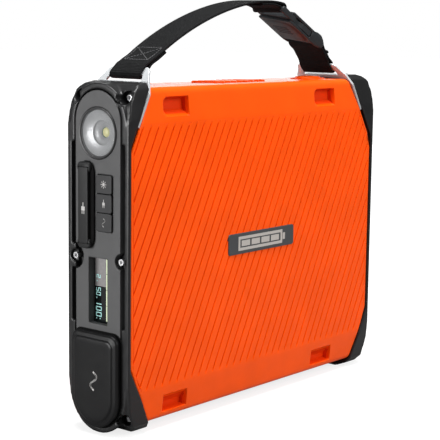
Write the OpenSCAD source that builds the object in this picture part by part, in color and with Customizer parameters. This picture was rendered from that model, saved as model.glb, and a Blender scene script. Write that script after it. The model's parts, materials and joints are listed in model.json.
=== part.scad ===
// Portable jump starter pack with a side-release strap handle.
// +X runs along the pack, the control panel faces -X, the front faces -Y and +Z is up.
// The origin is at the middle of the footprint, on the surface that the pack stands on.
// Heights in the source are from the flanks' lower edge, which foot_drop lifts to its place.

/* [Pack] */
// Length over the two end caps
pack_len = 300; // [290:1:310]
// Depth over the two end caps
pack_depth = 60; // [60:0.5:64]
// Height over the two end caps
pack_height = 247; // [245:0.5:250]
// How far the end caps stand above and below the coloured shells
cap_lip_z = 3.5; // [2:0.5:4]
// How far the end caps stand proud of the coloured front and rear faces
cap_lip_y = 1; // [0.5:0.1:1.5]
// Wall of the coloured shells
shell_wall = 2.5; // [2:0.1:3]

/* [Control panel] */
// Half width of the stadium shaped control panel
panel_r = 21.8; // [21.8:0.1:22]
// Height of the lamp's centre above the ground
lamp_z = 211.8; // [210:0.1:213]
// Radius of the lamp's clear lens
lens_r = 16.4; // [15:0.1:16.4]
// Width of the rubber cover over the USB ports
usb_w = 15.7; // [15:0.1:16]
// Length of the rubber cover over the USB ports
usb_len = 62; // [58:0.5:62]
// Width of the push buttons
button_w = 15; // [13:0.1:15]
// Travel of the push buttons
button_travel = 0.8; // [0.5:0.1:0.9]
// How far the large port covers stand out of the end faces
cover_proud = 6; // [5:0.5:7]

/* [Handle] */
// Width of the webbing
web_w = 30; // [28:0.5:30]
// Thickness of the webbing
web_t = 2; // [1.6:0.1:2]
// Thickness of the steel strap brackets
bracket_t = 2; // [1.5:0.1:2]

/* [Batteries] */
// Radius of one battery cell
cell_r = 9.2; // [9:0.1:9.3]
// Length of one battery cell
cell_len = 65; // [65:0.5:70]
// Cells along the pack
cell_count = 6; // [4:1:6]

/* [Hidden] */
$fn = 64;

// Colours
orange = [1, 0.35, 0];
black = [0.15, 0.15, 0.16];
dark = [0.24, 0.24, 0.25];
steel = [0.8, 0.8, 0.82];
green = [0.1, 0.4, 0.2];
copper = [0.8, 0.5, 0.25];

// Small gap between parts that don't touch, and the smallest one between neighbours
gap = 0.3;
thin_gap = 0.15;
// A cut runs this far past the face that it opens
over = 1;

// Outside form
half_len = pack_len / 2;
half_depth = pack_depth / 2;
mid_z = pack_height / 2;
band_z = 25;          // height of the sloped bands along the top and the bottom
band_slope_y = 2;     // how far a band leans in
edge_cut = 4;         // chamfer along the long edges
foot_drop = 2.5;      // how far the undersides bulge below the flanks' lower edge

// Seams between the end caps and the coloured shells
seam_x = 147;         // the straight, upright stretch
seam_slope = 0.5;     // sideways run per unit of height at a corner
seam_slope_right_top = 0.6;
seam_z = 46;          // where the lower corners start, from the ground
seam_top_left = 201;
seam_top_right = 193.5;
slot_half = 1.4;      // half width of the slot that a strap bracket stands in, along X

// Inside the caps
tongue_x = 132;
tongue_y = half_depth - cap_lip_y - shell_wall - gap;
end_wall = 11;
panel_t = 5.8;
panel_low = 24.5;     // centres of the panel's round ends
panel_high = 219.7;
pod_r = 27;           // half width of the upright pod that carries the panel
groove_r = 25.8;      // half width of the groove beside the panel, and round its ends
groove_end_r = 22.9;
groove_t = 4;
groove_low = 76;      // where the wide stretch of the groove starts and ends
groove_high = 205;
tongue_low = 44;
tongue_high = 206;
screw_y = 22.3;
corner_screw_dz = 113.3;
head_r = 2.3;
head_h = 2.6;
well_r = 4.6;         // round the screws at mid height
corner_well_r = 4.9;
corner_well_x = half_len - 11;
mid_well_x = half_len - 3;
boss_r = 8.5;

// Controls on the panel
usb_y = 10.1;
usb_z = 160.8;
usb_proud = 4.3;
usb_flap_proud = 2.6; // of the low flap round the raised middle
button_y = -7.05;
button_z = 163.2;
button_pitch = 13.4;
button_h = 12.9;
display_w = 18.2;
display_h = 47.5;
display_z = 100.2;
ac_r = 22.7;
ac_top = 71;
ac_bottom = 2.2;
lamp_depth = 8.2;
pin_r = 1;
lug_r = 2;            // hinge lug round a pin

// Strap brackets
bar_low = 5;          // crossbar's lower and upper edge, along the plate from its bend
bar_high = 12;
bar_z = (bar_low + bar_high) / 2;
leg_in = 26.6;        // legs in the seams, from this distance to leg_out
leg_out = 28.8;
leg_foot = 34;        // length of the legs below the bend
left_lean = 38;       // lean of the free part of each plate
right_lean = 44;

// Handle
loop_clear = 0.5;     // between webbing and the bar that it goes round
joint_gap = 0.4;
left_joint_x = -108;
right_joint_x = 101;
buckle_x = 66;        // middle of the buckle
buckle_z = 287.3;
buckle_tilt = 28.3;
buckle_roll = 8;
buckle_half = 17;
buckle_bar_r = 1.5;
male_bar_u = -28;
female_bar_u = 28.5;

// ---------- shared shapes ----------

// Lifts the pack, so that its undersides stand on the ground
module on_ground() {
    translate([0, 0, foot_drop]) children();
}

// Extrudes an outline drawn in the X-Z plane along Y, both ways from the middle
module along_y(width) {
    rotate([90, 0, 0]) translate([0, 0, -width / 2]) linear_extrude(width) children();
}

// Extrudes an outline drawn in the Y-Z plane from x0 to x1
module along_x(x0, x1) {
    translate([x0, 0, 0]) rotate([90, 0, 90]) linear_extrude(x1 - x0) children();
}

// A box from its lowest to its highest corner
module block(low, high) {
    translate(low) cube(high - low);
}

// A cylinder along X
module rod_x(x0, x1, y, z, r) {
    translate([x0, y, z]) rotate([0, 90, 0]) cylinder(h = x1 - x0, r = r);
}

// A cylinder along Y, centred on y = 0
module rod_y(x, z, length, r) {
    translate([x, 0, z]) rotate([90, 0, 0]) cylinder(h = length, r = r, center = true);
}

// The panel's stadium outline, in the Y-Z plane
module stadium(r) {
    translate([-r, panel_low]) square([2 * r, panel_high - panel_low]);
    for (z = [panel_low, panel_high]) translate([0, z]) circle(r);
}

// An upright rectangle with round corners, centred
module round_rect(w, h, r) {
    square([w - 2 * r, h], center = true);
    square([w, h - 2 * r], center = true);
    for (i = [-1, 1], j = [-1, 1]) translate([i * (w / 2 - r), j * (h / 2 - r)]) circle(r);
}

// Cross section of the pack, in the Y-Z plane, drawn in by the given amounts
module section(in_y, in_z) {
    y = half_depth - in_y;
    low = in_z;
    high = pack_height - in_z;
    lean = y - band_slope_y;
    polygon([
        [-y, low + band_z], [-lean, low + 5], [-lean + 3.5, low + 0.8],
        [-lean + 12, low - foot_drop], [lean - 12, low - foot_drop],
        [lean - 3.5, low + 0.8], [lean, low + 5], [y, low + band_z],
        [y, high - band_z], [lean, high - edge_cut], [lean - edge_cut, high],
        [-lean + edge_cut, high], [-lean, high - edge_cut], [-y, high - band_z]
    ]);
}

// Outline of the pack in the X-Z plane, for the right half
corner_points = [
    [half_len, 34], [half_len - 2, 17], [half_len - 6.5, 5], [half_len - 12, -0.5],
    [half_len - 18, -foot_drop]
];
top_corner_points = [
    [half_len - 20, pack_height], [half_len - 13, pack_height - 1.5],
    [half_len - 7, pack_height - 6], [half_len - 2.5, pack_height - 15],
    [half_len, pack_height - 30]
];

module side_outline() {
    right = concat(top_corner_points, corner_points);
    polygon(concat(right, [for (i = [len(right) - 1:-1:0]) [-right[i][0], right[i][1]]]));
}

// Seam points of one end, from the bottom up, moved by the given amounts towards the middle
function seam_points(side, start, slope, low_in, mid_in, top_in) = [
    [side * (seam_x - seam_slope * (seam_z + foot_drop) - low_in), -foot_drop],
    [side * (seam_x - mid_in), seam_z + (mid_in - low_in) / seam_slope],
    [side * (seam_x - mid_in), start + (mid_in - top_in) / slope],
    [side * (seam_x - slope * (pack_height - start) - top_in), pack_height]
];

function reverse(list) = [for (i = [len(list) - 1:-1:0]) list[i]];

// ---------- coloured shells ----------

module shell_region() {
    right = seam_points(1, seam_top_right, seam_slope_right_top, thin_gap, gap, slot_half);
    left = seam_points(-1, seam_top_left, seam_slope, thin_gap, gap, slot_half);
    polygon(concat(right, reverse(left)));
}

module both_shells() {
    difference() {
        intersection() {
            along_x(-half_len, half_len) section(cap_lip_y, cap_lip_z);
            along_y(pack_depth) shell_region();
        }
        along_x(-half_len, half_len) section(cap_lip_y + shell_wall, cap_lip_z + shell_wall);
        top_vents();
        nameplate_seat();
    }
}

// Slanted cooling slots in the top, over the fan
module top_vents() {
    for (i = [-3:3])
        translate([i * 7 - 8, 0, pack_height - cap_lip_z - shell_wall - over])
            rotate([0, 0, 35]) cube([2.2, 24, 2 * (shell_wall + over)], center = true);
}

module nameplate_seat() {
    translate([-0.7, -half_depth + cap_lip_y, 123]) rotate([90, 0, 0])
        linear_extrude(2, center = true) round_rect(81.6, 16.6, 2.3);
}

module front_shell() {
    color(orange) intersection() {
        both_shells();
        block([-half_len, -half_depth, -foot_drop], [half_len, -thin_gap / 2, pack_height]);
    }
}

module rear_shell() {
    color(orange) intersection() {
        both_shells();
        block([-half_len, thin_gap / 2, -foot_drop], [half_len, half_depth, pack_height]);
    }
}

module nameplate() {
    color(dark) translate([-0.7, -half_depth + cap_lip_y + 1, 123]) rotate([90, 0, 0])
        linear_extrude(1.7) round_rect(81, 16, 2);
}

// ---------- end caps ----------

// Everything of the pack's outside that lies beyond a seam
module cap_flange(side, start, slope) {
    inner = seam_points(side, start, slope, -thin_gap, 0, -slot_half);
    far = side * (half_len + over);
    intersection() {
        along_x(-half_len, half_len) section(0, 0);
        along_y(pack_depth) side_outline();
        along_y(pack_depth) polygon(concat(inner, [[far, pack_height], [far, -foot_drop]]));
    }
}

module end_cap(side, start, slope) {
    difference() {
        union() {
            cap_flange(side, start, slope);
            mirror_to(side) {
                block([-half_len + 1, -tongue_y, tongue_low], [-tongue_x, tongue_y, tongue_high]);
                along_x(-half_len, -seam_x) stadium(pod_r);
                along_x(-seam_x - over, -half_len + end_wall + 2) stadium(tongue_y);
            }
        }
        mirror_to(side) {
            block([-half_len + end_wall, -23.8, 6], [-100, 23.8, 235.5]);
            along_x(-half_len - over, -half_len + panel_t + gap) stadium(panel_r + thin_gap);
            panel_groove();
            screw_wells();
        }
    }
}

// Groove round the panel, wide beside it and narrow round its ends
module panel_groove() {
    difference() {
        along_x(-half_len - over, -half_len + groove_t) {
            stadium(groove_end_r);
            translate([-groove_r, groove_low])
                square([2 * groove_r, groove_high - groove_low]);
        }
        mid_bosses();
    }
}

// Draws the left end's shapes at the left, or mirrored at the right
module mirror_to(side) {
    if (side < 0) children();
    else mirror([1, 0, 0]) children();
}

// The rear screw at mid height stands in a round boss, the front one in a low one
module mid_bosses() {
    rod_x(-half_len - 2 * over, -half_len + end_wall, screw_y + 1.5, mid_z, boss_r);
    rod_x(-mid_well_x, -half_len + end_wall, -screw_y, mid_z, well_r + 0.8);
}

module screw_wells() {
    for (s = [-1, 1]) {
        rod_x(-half_len - over, -mid_well_x, s * screw_y, mid_z, well_r);
        rod_x(-mid_well_x - over, -half_len + end_wall + over, s * screw_y, mid_z, 1.4);
        for (t = [-1, 1]) {
            z = mid_z + t * corner_screw_dz;
            rod_x(-half_len - over, -corner_well_x, s * screw_y, z, corner_well_r);
        }
    }
}

// Socket-head screws of one end: four in the corners and two at mid height
module cap_screws() {
    for (s = [-1, 1]) {
        socket_screw(-mid_well_x, s * screw_y, mid_z, 6);
        for (t = [-1, 1])
            socket_screw(-corner_well_x, s * screw_y, mid_z + t * corner_screw_dz, 0);
    }
}

// A head whose underside is at x, with a hexagonal socket, and a shank behind it
module socket_screw(x, y, z, shank) {
    difference() {
        rod_x(x - head_h, x, y, z, head_r);
        translate([x - head_h - over, y, z]) rotate([0, 90, 0])
            cylinder(h = over + 1.4, r = 1.3, $fn = 6);
    }
    if (shank > 0) rod_x(x, x + shank, y, z, 1.25);
}

module left_end_cap() {
    color(black) difference() {
        end_cap(-1, seam_top_left, seam_slope);
        panel_openings(gap, 2);
    }
}

module right_end_cap() {
    color(black) difference() {
        end_cap(1, seam_top_right, seam_slope_right_top);
        block([half_len - end_wall - over, -17, 40], [half_len, 17, 106]);
    }
}

module left_cap_screws() { color(steel) cap_screws(); }
module right_cap_screws() { color(steel) mirror([1, 0, 0]) cap_screws(); }

// ---------- control panel ----------

// The openings of the panel, enlarged by the given gap; wide ones run through the cap's wall
module panel_openings(extra, deep) {
    back = -half_len + end_wall + deep;
    front = -half_len - over;
    rod_x(front, back, 0, lamp_z, 18.3 + extra);
    translate([0, usb_y, usb_z]) along_x(front, back)
        round_rect(usb_w - 3 + 2 * extra, usb_len - 4 + 2 * extra, 3);
    translate([0, button_y, button_z]) along_x(front, back)
        round_rect(button_w + 0.6 + 2 * extra, 2 * button_pitch + button_h + 0.6 + 2 * extra, 1.6);
    translate([0, 0, display_z]) along_x(front, back)
        square([display_w + 2 * extra, display_h + 2 * extra], center = true);
    translate([0, 0, 38]) along_x(front, back)
        round_rect(34.6 + 2 * extra, 50.6 + 2 * extra, 8);
}

// Cuts that clear the cap's bosses and screws from a plate that fills the stadium
module plate_notches() {
    rod_x(-half_len - over, 0, screw_y + 1.5, mid_z, boss_r + 1.2);
    rod_x(-half_len - over, 0, -screw_y, mid_z, well_r + 1.1);
    for (s = [-1, 1], t = [-1, 1])
        rod_x(-half_len - over, 0, s * screw_y, mid_z + t * corner_screw_dz, corner_well_r + gap);
}

module control_panel() {
    color(dark) {
        difference() {
            along_x(-half_len, -half_len + panel_t) stadium(panel_r);
            panel_openings(0, 2);
            plate_notches();
            tether_slot();
        }
        hinge_lug();
    }
}

module panel_gasket() {
    color(black) difference() {
        along_x(-half_len + panel_t + 0.01, -half_len + panel_t + gap) stadium(panel_r - 0.6);
        panel_openings(0.5, 2);
        plate_notches();
        tether_slot();
    }
}

module lamp_bezel() {
    color(black) difference() {
        rod_x(-half_len - 0.6, -half_len + 5, 0, lamp_z, 18.1);
        rod_x(-half_len - over, -half_len + 6, 0, lamp_z, lens_r + 0.1);
    }
}

module lamp_lens() {
    color([0.85, 0.87, 0.9]) rod_x(-half_len - 0.2, -half_len + 1.3, 0, lamp_z, lens_r);
}

// Bowl of the reflector, open to the front
module lamp_reflector() {
    color(steel) translate([-half_len + 1.5, 0, lamp_z]) rotate([0, 90, 0]) rotate_extrude()
        polygon([[16.1, 0], [15.1, 0], [9.2, 2.4], [8.2, 2.4], [4.4, 6.6], [5.4, 6.6],
                 [8.9, 3.4], [9.6, 3.4]]);
}

module lamp_led_board() {
    color(green) rod_x(-half_len + 9.2, -half_len + 10.6, 0, lamp_z, 9);
}

module lamp_led() {
    color([0.9, 0.85, 0.4]) block([-half_len + lamp_depth, -2.6, lamp_z - 2.6],
                                  [-half_len + 9.15, 2.6, lamp_z + 2.6]);
}

module display_window() {
    color([0.1, 0.12, 0.13]) block([-half_len + 6.6, -display_w / 2 + 0.1, display_z - 23.6],
                                   [-half_len + 7.6, display_w / 2 - 0.1, display_z + 23.6]);
}

module display_module() {
    color([0.3, 0.35, 0.35]) block([-half_len + 7.7, -8.8, display_z - 23],
                                   [-half_len + 10.7, 8.8, display_z + 23]);
}

// Printed board behind the buttons, with one dome switch for each
module button_board() {
    color(green) block([-half_len + 9.6, -14.2, 143.5], [-half_len + 11.2, 0.2, 182.9]);
    color(black) for (i = [-1:1])
        block([-half_len + 6.2, button_y - 3, button_z + i * button_pitch - 3],
              [-half_len + 9.6, button_y + 3, button_z + i * button_pitch + 3]);
}

// One push button with its inner guide
module push_button(index) {
    z = button_z + index * button_pitch;
    translate([0, button_y, z]) {
        along_x(-half_len - 1.3, -half_len + 4) round_rect(button_w, button_h, 1.5);
        along_x(-half_len + 4, -half_len + 5) square([6, 6], center = true);
    }
}

module light_button() { color(dark) push_button(1); }
module usb_button() { color(dark) push_button(0); }
module ac_button() { color(dark) push_button(-1); }

// ---------- port covers ----------

cover_hinge_x = half_len + 2.8;
cover_hinge_z = ac_top - 2.4;
tether_z = usb_z + usb_len / 2;

// Rubber flap, with a raised bar along its middle and a plug behind it
module usb_cover() {
    color(black) translate([0, usb_y, usb_z]) {
        along_x(-half_len - usb_flap_proud, -half_len - thin_gap)
            round_rect(usb_w, usb_len, usb_w / 2 - 0.05);
        along_x(-half_len - usb_proud, -half_len - usb_flap_proud)
            round_rect(usb_w, usb_len - 9, 2);
        translate([0, 0, -2]) along_x(-half_len - thin_gap, -half_len + 1.8)
            round_rect(usb_w - 4.4, usb_len - 16, 2);
    }
}

module tether_slot() {
    block([-half_len - over, usb_y - 3.1, tether_z - 2.4], [-half_len + 1, usb_y + 3.1, tether_z]);
    rod_x(-half_len, -half_len + panel_t + over, usb_y, tether_z - 1.2, 1);
}

// Fixed end of the flap's rubber hinge: a strip and a stud that is pushed into the panel
module usb_cover_tether() {
    color(black) {
        block([-half_len, usb_y - 3, tether_z - 2.3], [-half_len + 1, usb_y + 3, tether_z - 0.1]);
        rod_x(-half_len + 0.9, -half_len + panel_t + 0.2, usb_y, tether_z - 1.2, 1);
    }
}

// Two type-A sockets and one type-C socket on a carrier
module usb_ports() {
    color(black) difference() {
        translate([0, usb_y, usb_z]) along_x(-half_len + 2.6, -half_len + 16)
            round_rect(usb_w - 3.4, usb_len - 4.4, 2.8);
        for (z = [usb_z - 19, usb_z - 2])
            translate([0, usb_y, z]) difference() {
                along_x(-half_len, -half_len + 14) square([5.4, 12.4], center = true);
                along_x(-half_len, -half_len + 14) translate([1, 0]) square([2, 11], center = true);
            }
        translate([0, usb_y, usb_z + 15]) along_x(-half_len, -half_len + 10)
            round_rect(3, 8.6, 1.4);
    }
}

// Cover with a straight top edge and a round lower end, hinged at its top
module port_cover() {
    difference() {
        union() {
            along_x(-half_len - cover_proud + 1.8, -half_len - thin_gap) cover_outline(0);
            along_x(-half_len - cover_proud, -half_len - cover_proud + 1.8) cover_outline(4);
            translate([0, 0, 36]) along_x(-half_len - thin_gap, -half_len + 1.6)
                round_rect(31, 44, 7);
        }
        difference() {
            block([-cover_hinge_x, -40, cover_hinge_z], [-half_len + over, 40, ac_top + over]);
            rod_y(-cover_hinge_x, cover_hinge_z, 90, lug_r + 0.4);
        }
        block([-cover_hinge_x - lug_r - gap, -lug_half - 0.4, cover_hinge_z - 4],
              [-half_len + over, lug_half + 0.4, ac_top + over]);
        rod_y(-cover_hinge_x, cover_hinge_z, 36.4, pin_r + 0.05);
    }
}

lug_half = 6;

// Lug on the plate that holds the middle of a cover's pin
module hinge_lug() {
    difference() {
        union() {
            rod_y(-cover_hinge_x, cover_hinge_z, 2 * lug_half, lug_r);
            block([-cover_hinge_x, -lug_half, cover_hinge_z - lug_r],
                  [-half_len + over, lug_half, cover_hinge_z]);
        }
        rod_y(-cover_hinge_x, cover_hinge_z, 90, pin_r);
    }
}

module cover_outline(inset) {
    r = ac_r - inset;
    low = ac_bottom + ac_r;
    translate([0, low]) circle(r);
    translate([-r, low]) square([2 * r, ac_top - inset - low - 5]);
    translate([-r + 5, low]) square([2 * r - 10, ac_top - inset - low]);
    for (s = [-1, 1]) translate([s * (r - 5), ac_top - inset - 5]) circle(5);
}

module ac_cover() { color(black) port_cover(); }
module jump_cover() { color(black) mirror([1, 0, 0]) port_cover(); }
module ac_cover_pin() { color(steel) rod_y(-cover_hinge_x, cover_hinge_z, 36, pin_r); }
module jump_cover_pin() { color(steel) rod_y(cover_hinge_x, cover_hinge_z, 36, pin_r); }

// Outlet face with two blade slots and an earth hole
module ac_outlet() {
    color(black) difference() {
        translate([0, 0, 38]) along_x(-half_len + 2, -half_len + 28) round_rect(34, 50, 7.5);
        for (s = [-1, 1])
            translate([0, s * 6.3, 42]) along_x(-half_len, -half_len + 20)
                square([1.9, 7.5], center = true);
        rod_x(-half_len, -half_len + 20, 0, 30, 1.95);
    }
}

module right_port_plate() {
    color(dark) mirror([1, 0, 0]) {
        difference() {
            along_x(-half_len, -half_len + panel_t) stadium(panel_r);
            translate([0, 0, 36]) along_x(-half_len - over, -half_len + 7) round_rect(33, 46, 2);
            rod_x(-half_len - over, -half_len + 8, 0, 92, 6.2);
            plate_notches();
        }
        hinge_lug();
    }
}

// Shrouded two-pole socket for the jumper leads
module jump_socket() {
    color([0.1, 0.15, 0.3]) {
        difference() {
            block([half_len - 30, -15, 42.5], [half_len - 1.8, 15, 57.5]);
            block([half_len - 18, -13, 44.5], [half_len, 13, 55.5]);
        }
        for (s = [-1, 1]) difference() {
            rod_x(half_len - 18, half_len - 4, s * 6.6, 50, 4.9);
            rod_x(half_len - 16, half_len - 3, s * 6.6, 50, 1.9);
        }
    }
}

// Barrel socket for the charger, above the large cover
module charge_socket() {
    color(black) {
        difference() {
            rod_x(half_len - 18, half_len - 0.4, 0, 92, 6);
            rod_x(half_len - 14, half_len + over, 0, 92, 2.9);
        }
        rod_x(half_len - 14, half_len - 4, 0, 92, 1.1);
    }
}

// ---------- inside ----------

cell_pitch = 2 * cell_r + 1;
cell_x0 = -100;
cell_z0 = 22;

module at_cells() {
    for (i = [0:cell_count - 1], s = [-1, 1])
        translate([cell_x0 + i * cell_pitch, s * cell_pitch / 2, cell_z0]) children();
}

module battery_cells() {
    color([0.25, 0.4, 0.6]) at_cells() cylinder(h = cell_len, r = cell_r);
}

module cell_holders() {
    span = (cell_count - 1) * cell_pitch;
    color(black) for (z = [cell_z0 + 1, cell_z0 + cell_len - 9]) difference() {
        block([cell_x0 - 11, -21, z], [cell_x0 + span + 11, 21, z + 8]);
        translate([0, 0, z - cell_z0 - over]) at_cells() cylinder(h = 12, r = cell_r + 0.05);
    }
}

// Nickel strips under and over the cells
module cell_busbars() {
    color(steel) for (z = [cell_z0 - 0.5, cell_z0 + cell_len + 0.05], i = [0:2:cell_count - 2])
        block([cell_x0 + i * cell_pitch - 6, -15, z],
              [cell_x0 + (i + 1) * cell_pitch + 6, 15, z + 0.4]);
}

module battery_board() {
    color(green) block([-105, -18, 92], [0, 18, 93.6]);
    color(black) for (i = [0:4]) block([-98 + i * 18, -10, 93.6], [-86 + i * 18, 4, 96]);
}

lead_r = 2.5;
lead_y = 8;
lead_bend = 12;
lead_x = half_len - 30.1 - lead_bend;
lead_high = 95.5;
lead_low = 50;

// Two heavy leads from the battery board to the back of the jump socket
module battery_leads() {
    for (s = [-1, 1]) color(s < 0 ? "red" : black) {
        rod_x(0.5, lead_x - lead_bend, s * lead_y, lead_high, lead_r);
        translate([lead_x - lead_bend, s * lead_y, lead_high - lead_bend]) rotate([90, 0, 0])
            lead_turn();
        translate([lead_x, s * lead_y, lead_low + lead_bend])
            cylinder(h = lead_high - lead_low - 2 * lead_bend, r = lead_r);
        translate([lead_x + lead_bend, s * lead_y, lead_low + lead_bend]) rotate([90, 180, 0])
            lead_turn();
    }
}

// Quarter turn of a lead
module lead_turn() {
    rotate_extrude(angle = 90) translate([lead_bend, 0]) circle(lead_r);
}

module main_board() {
    color(green) block([-126, 12, 104], [-46, 13.6, 232]);
    color(black) for (z = [120, 150, 180]) block([-110, 8, z], [-80, 12, z + 18]);
}

module inverter_board() {
    color(green) block([-36, 12, 104], [124, 13.6, 214]);
}

module transformer() {
    color(copper) block([20, -14, 150], [54, 12, 184]);
    color(black) block([14, -18, 144], [60, 11.9, 149.9]);
    color(black) block([14, -18, 184.1], [60, 11.9, 190]);
}

module heat_sink() {
    color(steel) {
        block([76, 8, 120], [116, 12, 200]);
        for (i = [0:7]) block([77 + i * 5.2, -14, 120], [79 + i * 5.2, 8, 200]);
    }
}

module capacitors() {
    color([0.2, 0.2, 0.5]) for (i = [0:2])
        translate([-20, 12, 126 + i * 24]) rotate([90, 0, 0]) cylinder(h = 28, r = 9);
}

fan_x = -8;
fan_z0 = 222;

module fan_frame() {
    color(black) {
        difference() {
            block([fan_x - 20, -20, fan_z0], [fan_x + 20, 20, fan_z0 + 10]);
            translate([fan_x, 0, fan_z0 - over]) cylinder(h = 12, r = 19);
        }
        translate([fan_x, 0, fan_z0]) cylinder(h = 1.5, r = 9);
        for (a = [45:90:315]) translate([fan_x, 0, fan_z0]) rotate([0, 0, a])
            translate([8, -1, 0]) cube([12, 2, 1.5]);
    }
}

// Hub with seven blades
module fan_rotor() {
    color(dark) translate([fan_x, 0, fan_z0 + 2]) {
        cylinder(h = 7, r = 9);
        for (i = [0:6]) rotate([0, 0, i * 360 / 7]) translate([8.5, 0, 3.5])
            rotate([38, 0, 0]) cube([18, 1, 6.5], center = true);
    }
}

// ---------- strap brackets ----------

// Bend of each plate, where it leaves the pack, in the X-Z plane
left_bend = [-seam_x + seam_slope * (pack_height - seam_top_left), pack_height];
right_bend = [seam_x - seam_slope_right_top * (pack_height - seam_top_right), pack_height];

// Places a plate drawn in its own plane: u along Y, v up the plate from the bend
module on_plate(bend, lean) {
    translate([bend[0], 0, bend[1]]) rotate([0, lean, 0])
        rotate([90, 0, 90]) translate([0, 0, -bracket_t / 2]) linear_extrude(bracket_t)
            children();
}

// Free part of a bracket, with the slot that the webbing goes through
module bracket_head() {
    difference() {
        polygon([
            [-24.8, 0], [24.8, 0], [21.5, 5.5], [19.5, 10], [17, bar_high],
            [-17, bar_high], [-19.5, 10], [-21.5, 5.5]
        ]);
        polygon([[-17.6, -over], [17.6, -over], [15.8, bar_low], [-15.8, bar_low]]);
    }
}

// Part of a bracket that stands in the seam
module bracket_foot() {
    difference() {
        polygon([
            [-leg_out, -leg_foot], [leg_out, -leg_foot], [leg_out, -9], [24.8, 0],
            [-24.8, 0], [-leg_out, -9]
        ]);
        polygon([
            [-leg_in, -leg_foot - over], [leg_in, -leg_foot - over], [leg_in, -9],
            [23, -5], [-23, -5], [-leg_in, -9]
        ]);
    }
}

module strap_bracket(bend, seam_lean, head_lean) {
    color(steel) {
        on_plate(bend, seam_lean) bracket_foot();
        on_plate(bend, head_lean) bracket_head();
        for (s = [-1, 1]) translate([0, s * 21.1, 0])
            rod_y(bend[0], bend[1], 6.8, bracket_t / 2 + 0.1);
    }
}

module left_strap_bracket() { strap_bracket(left_bend, atan(seam_slope), left_lean); }

module right_strap_bracket() {
    strap_bracket(right_bend, -atan(seam_slope_right_top), -right_lean);
}

// ---------- buckle ----------

module on_buckle() {
    translate([buckle_x, 0, buckle_z]) rotate([0, buckle_tilt, 0]) rotate([buckle_roll, 0, 0])
        children();
}

module buckle_bar(u, r, length) {
    translate([u, 0, 0]) rotate([90, 0, 0]) cylinder(h = length, r = r, center = true);
}

// Male half: bar frame for the webbing, base of the prongs and centre guide
module buckle_male() {
    rail = web_w / 2 + 0.2;
    color(dark) on_buckle() {
        buckle_bar(male_bar_u, buckle_bar_r, 2 * rail + over);
        for (s = [0, 1]) mirror([0, s, 0]) {
            block([male_bar_u - 2, rail, -2.3], [-17.5, buckle_half, 2.3]);
            block([-19.5, 12, -2.3], [-12.4, buckle_half, 2.3]);
        }
        block([-19.5, -13, -2.3], [-12.4, 13, 2.3]);
        block([-12.5, -2.4, -1.8], [4, 2.4, 1.8]);
    }
}

// Female half: hollow housing with a side window for each prong, and a webbing bar
module buckle_female() {
    rail = web_w / 2 + 0.2;
    color(dark) on_buckle() {
        difference() {
            block([-16.8, -buckle_half, -4.6], [19, buckle_half, 4.6]);
            block([-17.8, -13.4, -2.6], [13, 13.4, 2.6]);
            for (s = [0, 1]) mirror([0, s, 0])
                block([-17.8, 13, -2.6], [12, buckle_half + over, 2.6]);
        }
        for (s = [0, 1]) mirror([0, s, 0])
            block([18.9, rail, -2.6], [female_bar_u + 2, buckle_half, 2.6]);
        buckle_bar(female_bar_u, buckle_bar_r, 2 * rail + over);
    }
}

prong_outline = [
    [-12.1, 13.4], [-12.1, 15.4], [-6, 15.6], [-1, 16.9], [11.2, 16.9], [11.2, 14.6], [9.5, 13.4]
];

// Spring arm whose shoulder sits behind the end of the side window
module prong() {
    translate([0, 0, -2.2]) linear_extrude(4.4) polygon(prong_outline);
}

module front_prong() { color(dark) on_buckle() mirror([0, 1, 0]) prong(); }
module rear_prong() { color(dark) on_buckle() prong(); }

// ---------- webbing ----------

function unit(v) = v / norm(v);
function bezier(p, t) =
    p[0] * pow(1 - t, 3) + 3 * p[1] * t * pow(1 - t, 2) + 3 * p[2] * pow(t, 2) * (1 - t)
    + p[3] * pow(t, 3);
function slope_at(p, t) =
    3 * (p[1] - p[0]) * pow(1 - t, 2) + 6 * (p[2] - p[1]) * t * (1 - t)
    + 3 * (p[3] - p[2]) * pow(t, 2);
function offset_point(p, t, side) =
    let (d = unit(slope_at(p, t))) bezier(p, t) + side * [-d[1], d[0]];

// Direction of a plate's free part, and points along it from its bend
function up_plate(lean) = [sin(lean), cos(lean)];
left_bar = left_bend + bar_z * up_plate(left_lean);
right_bar = right_bend + bar_z * up_plate(-right_lean);
eye_offset = (bar_high - bar_low - bracket_t) / 2;
left_eye = left_bar + eye_offset * up_plate(left_lean);
right_eye = right_bar + eye_offset * up_plate(-right_lean);
along_buckle = [cos(buckle_tilt), -sin(buckle_tilt)];
male_bar = [buckle_x, buckle_z] + male_bar_u * along_buckle;
female_bar = [buckle_x, buckle_z] + female_bar_u * along_buckle;

// Middle lines of the two lengths of webbing, as Bezier curves
arch_curve = [left_eye, [-68, 292], [3, 310.5], male_bar + [0.5, 3]];
short_curve = [female_bar, [95.5, 268.5], [101.5, 262], right_eye];

// A band along a curve, from low to high on either side of it
module band(p, low, high, steps) {
    polygon(concat(
        [for (i = [0:steps]) offset_point(p, i / steps, high)],
        [for (i = [steps:-1:0]) offset_point(p, i / steps, low)]
    ));
}

// Keeps what lies between two upright planes
module keep_x(x0, x1) {
    intersection() {
        children();
        translate([x0, 200]) square([x1 - x0, 150]);
    }
}

// Outline of the space round a crossbar, out to the given distance
module round_bar(bar, tilt, out) {
    translate(bar) rotate(tilt)
        round_rect(bracket_t + 2 * out, bar_high - bar_low + 2 * out,
                   bracket_t / 2 + out - 0.01);
}

// Webbing sewn round a crossbar: the loop and the doubled stretch beyond it
module sewn_loop(bar, tilt) {
    color(black) along_y(web_w) difference() {
        union() {
            round_bar(bar, tilt, loop_clear + web_t);
            children();
        }
        round_bar(bar, tilt, loop_clear);
    }
}

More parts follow.
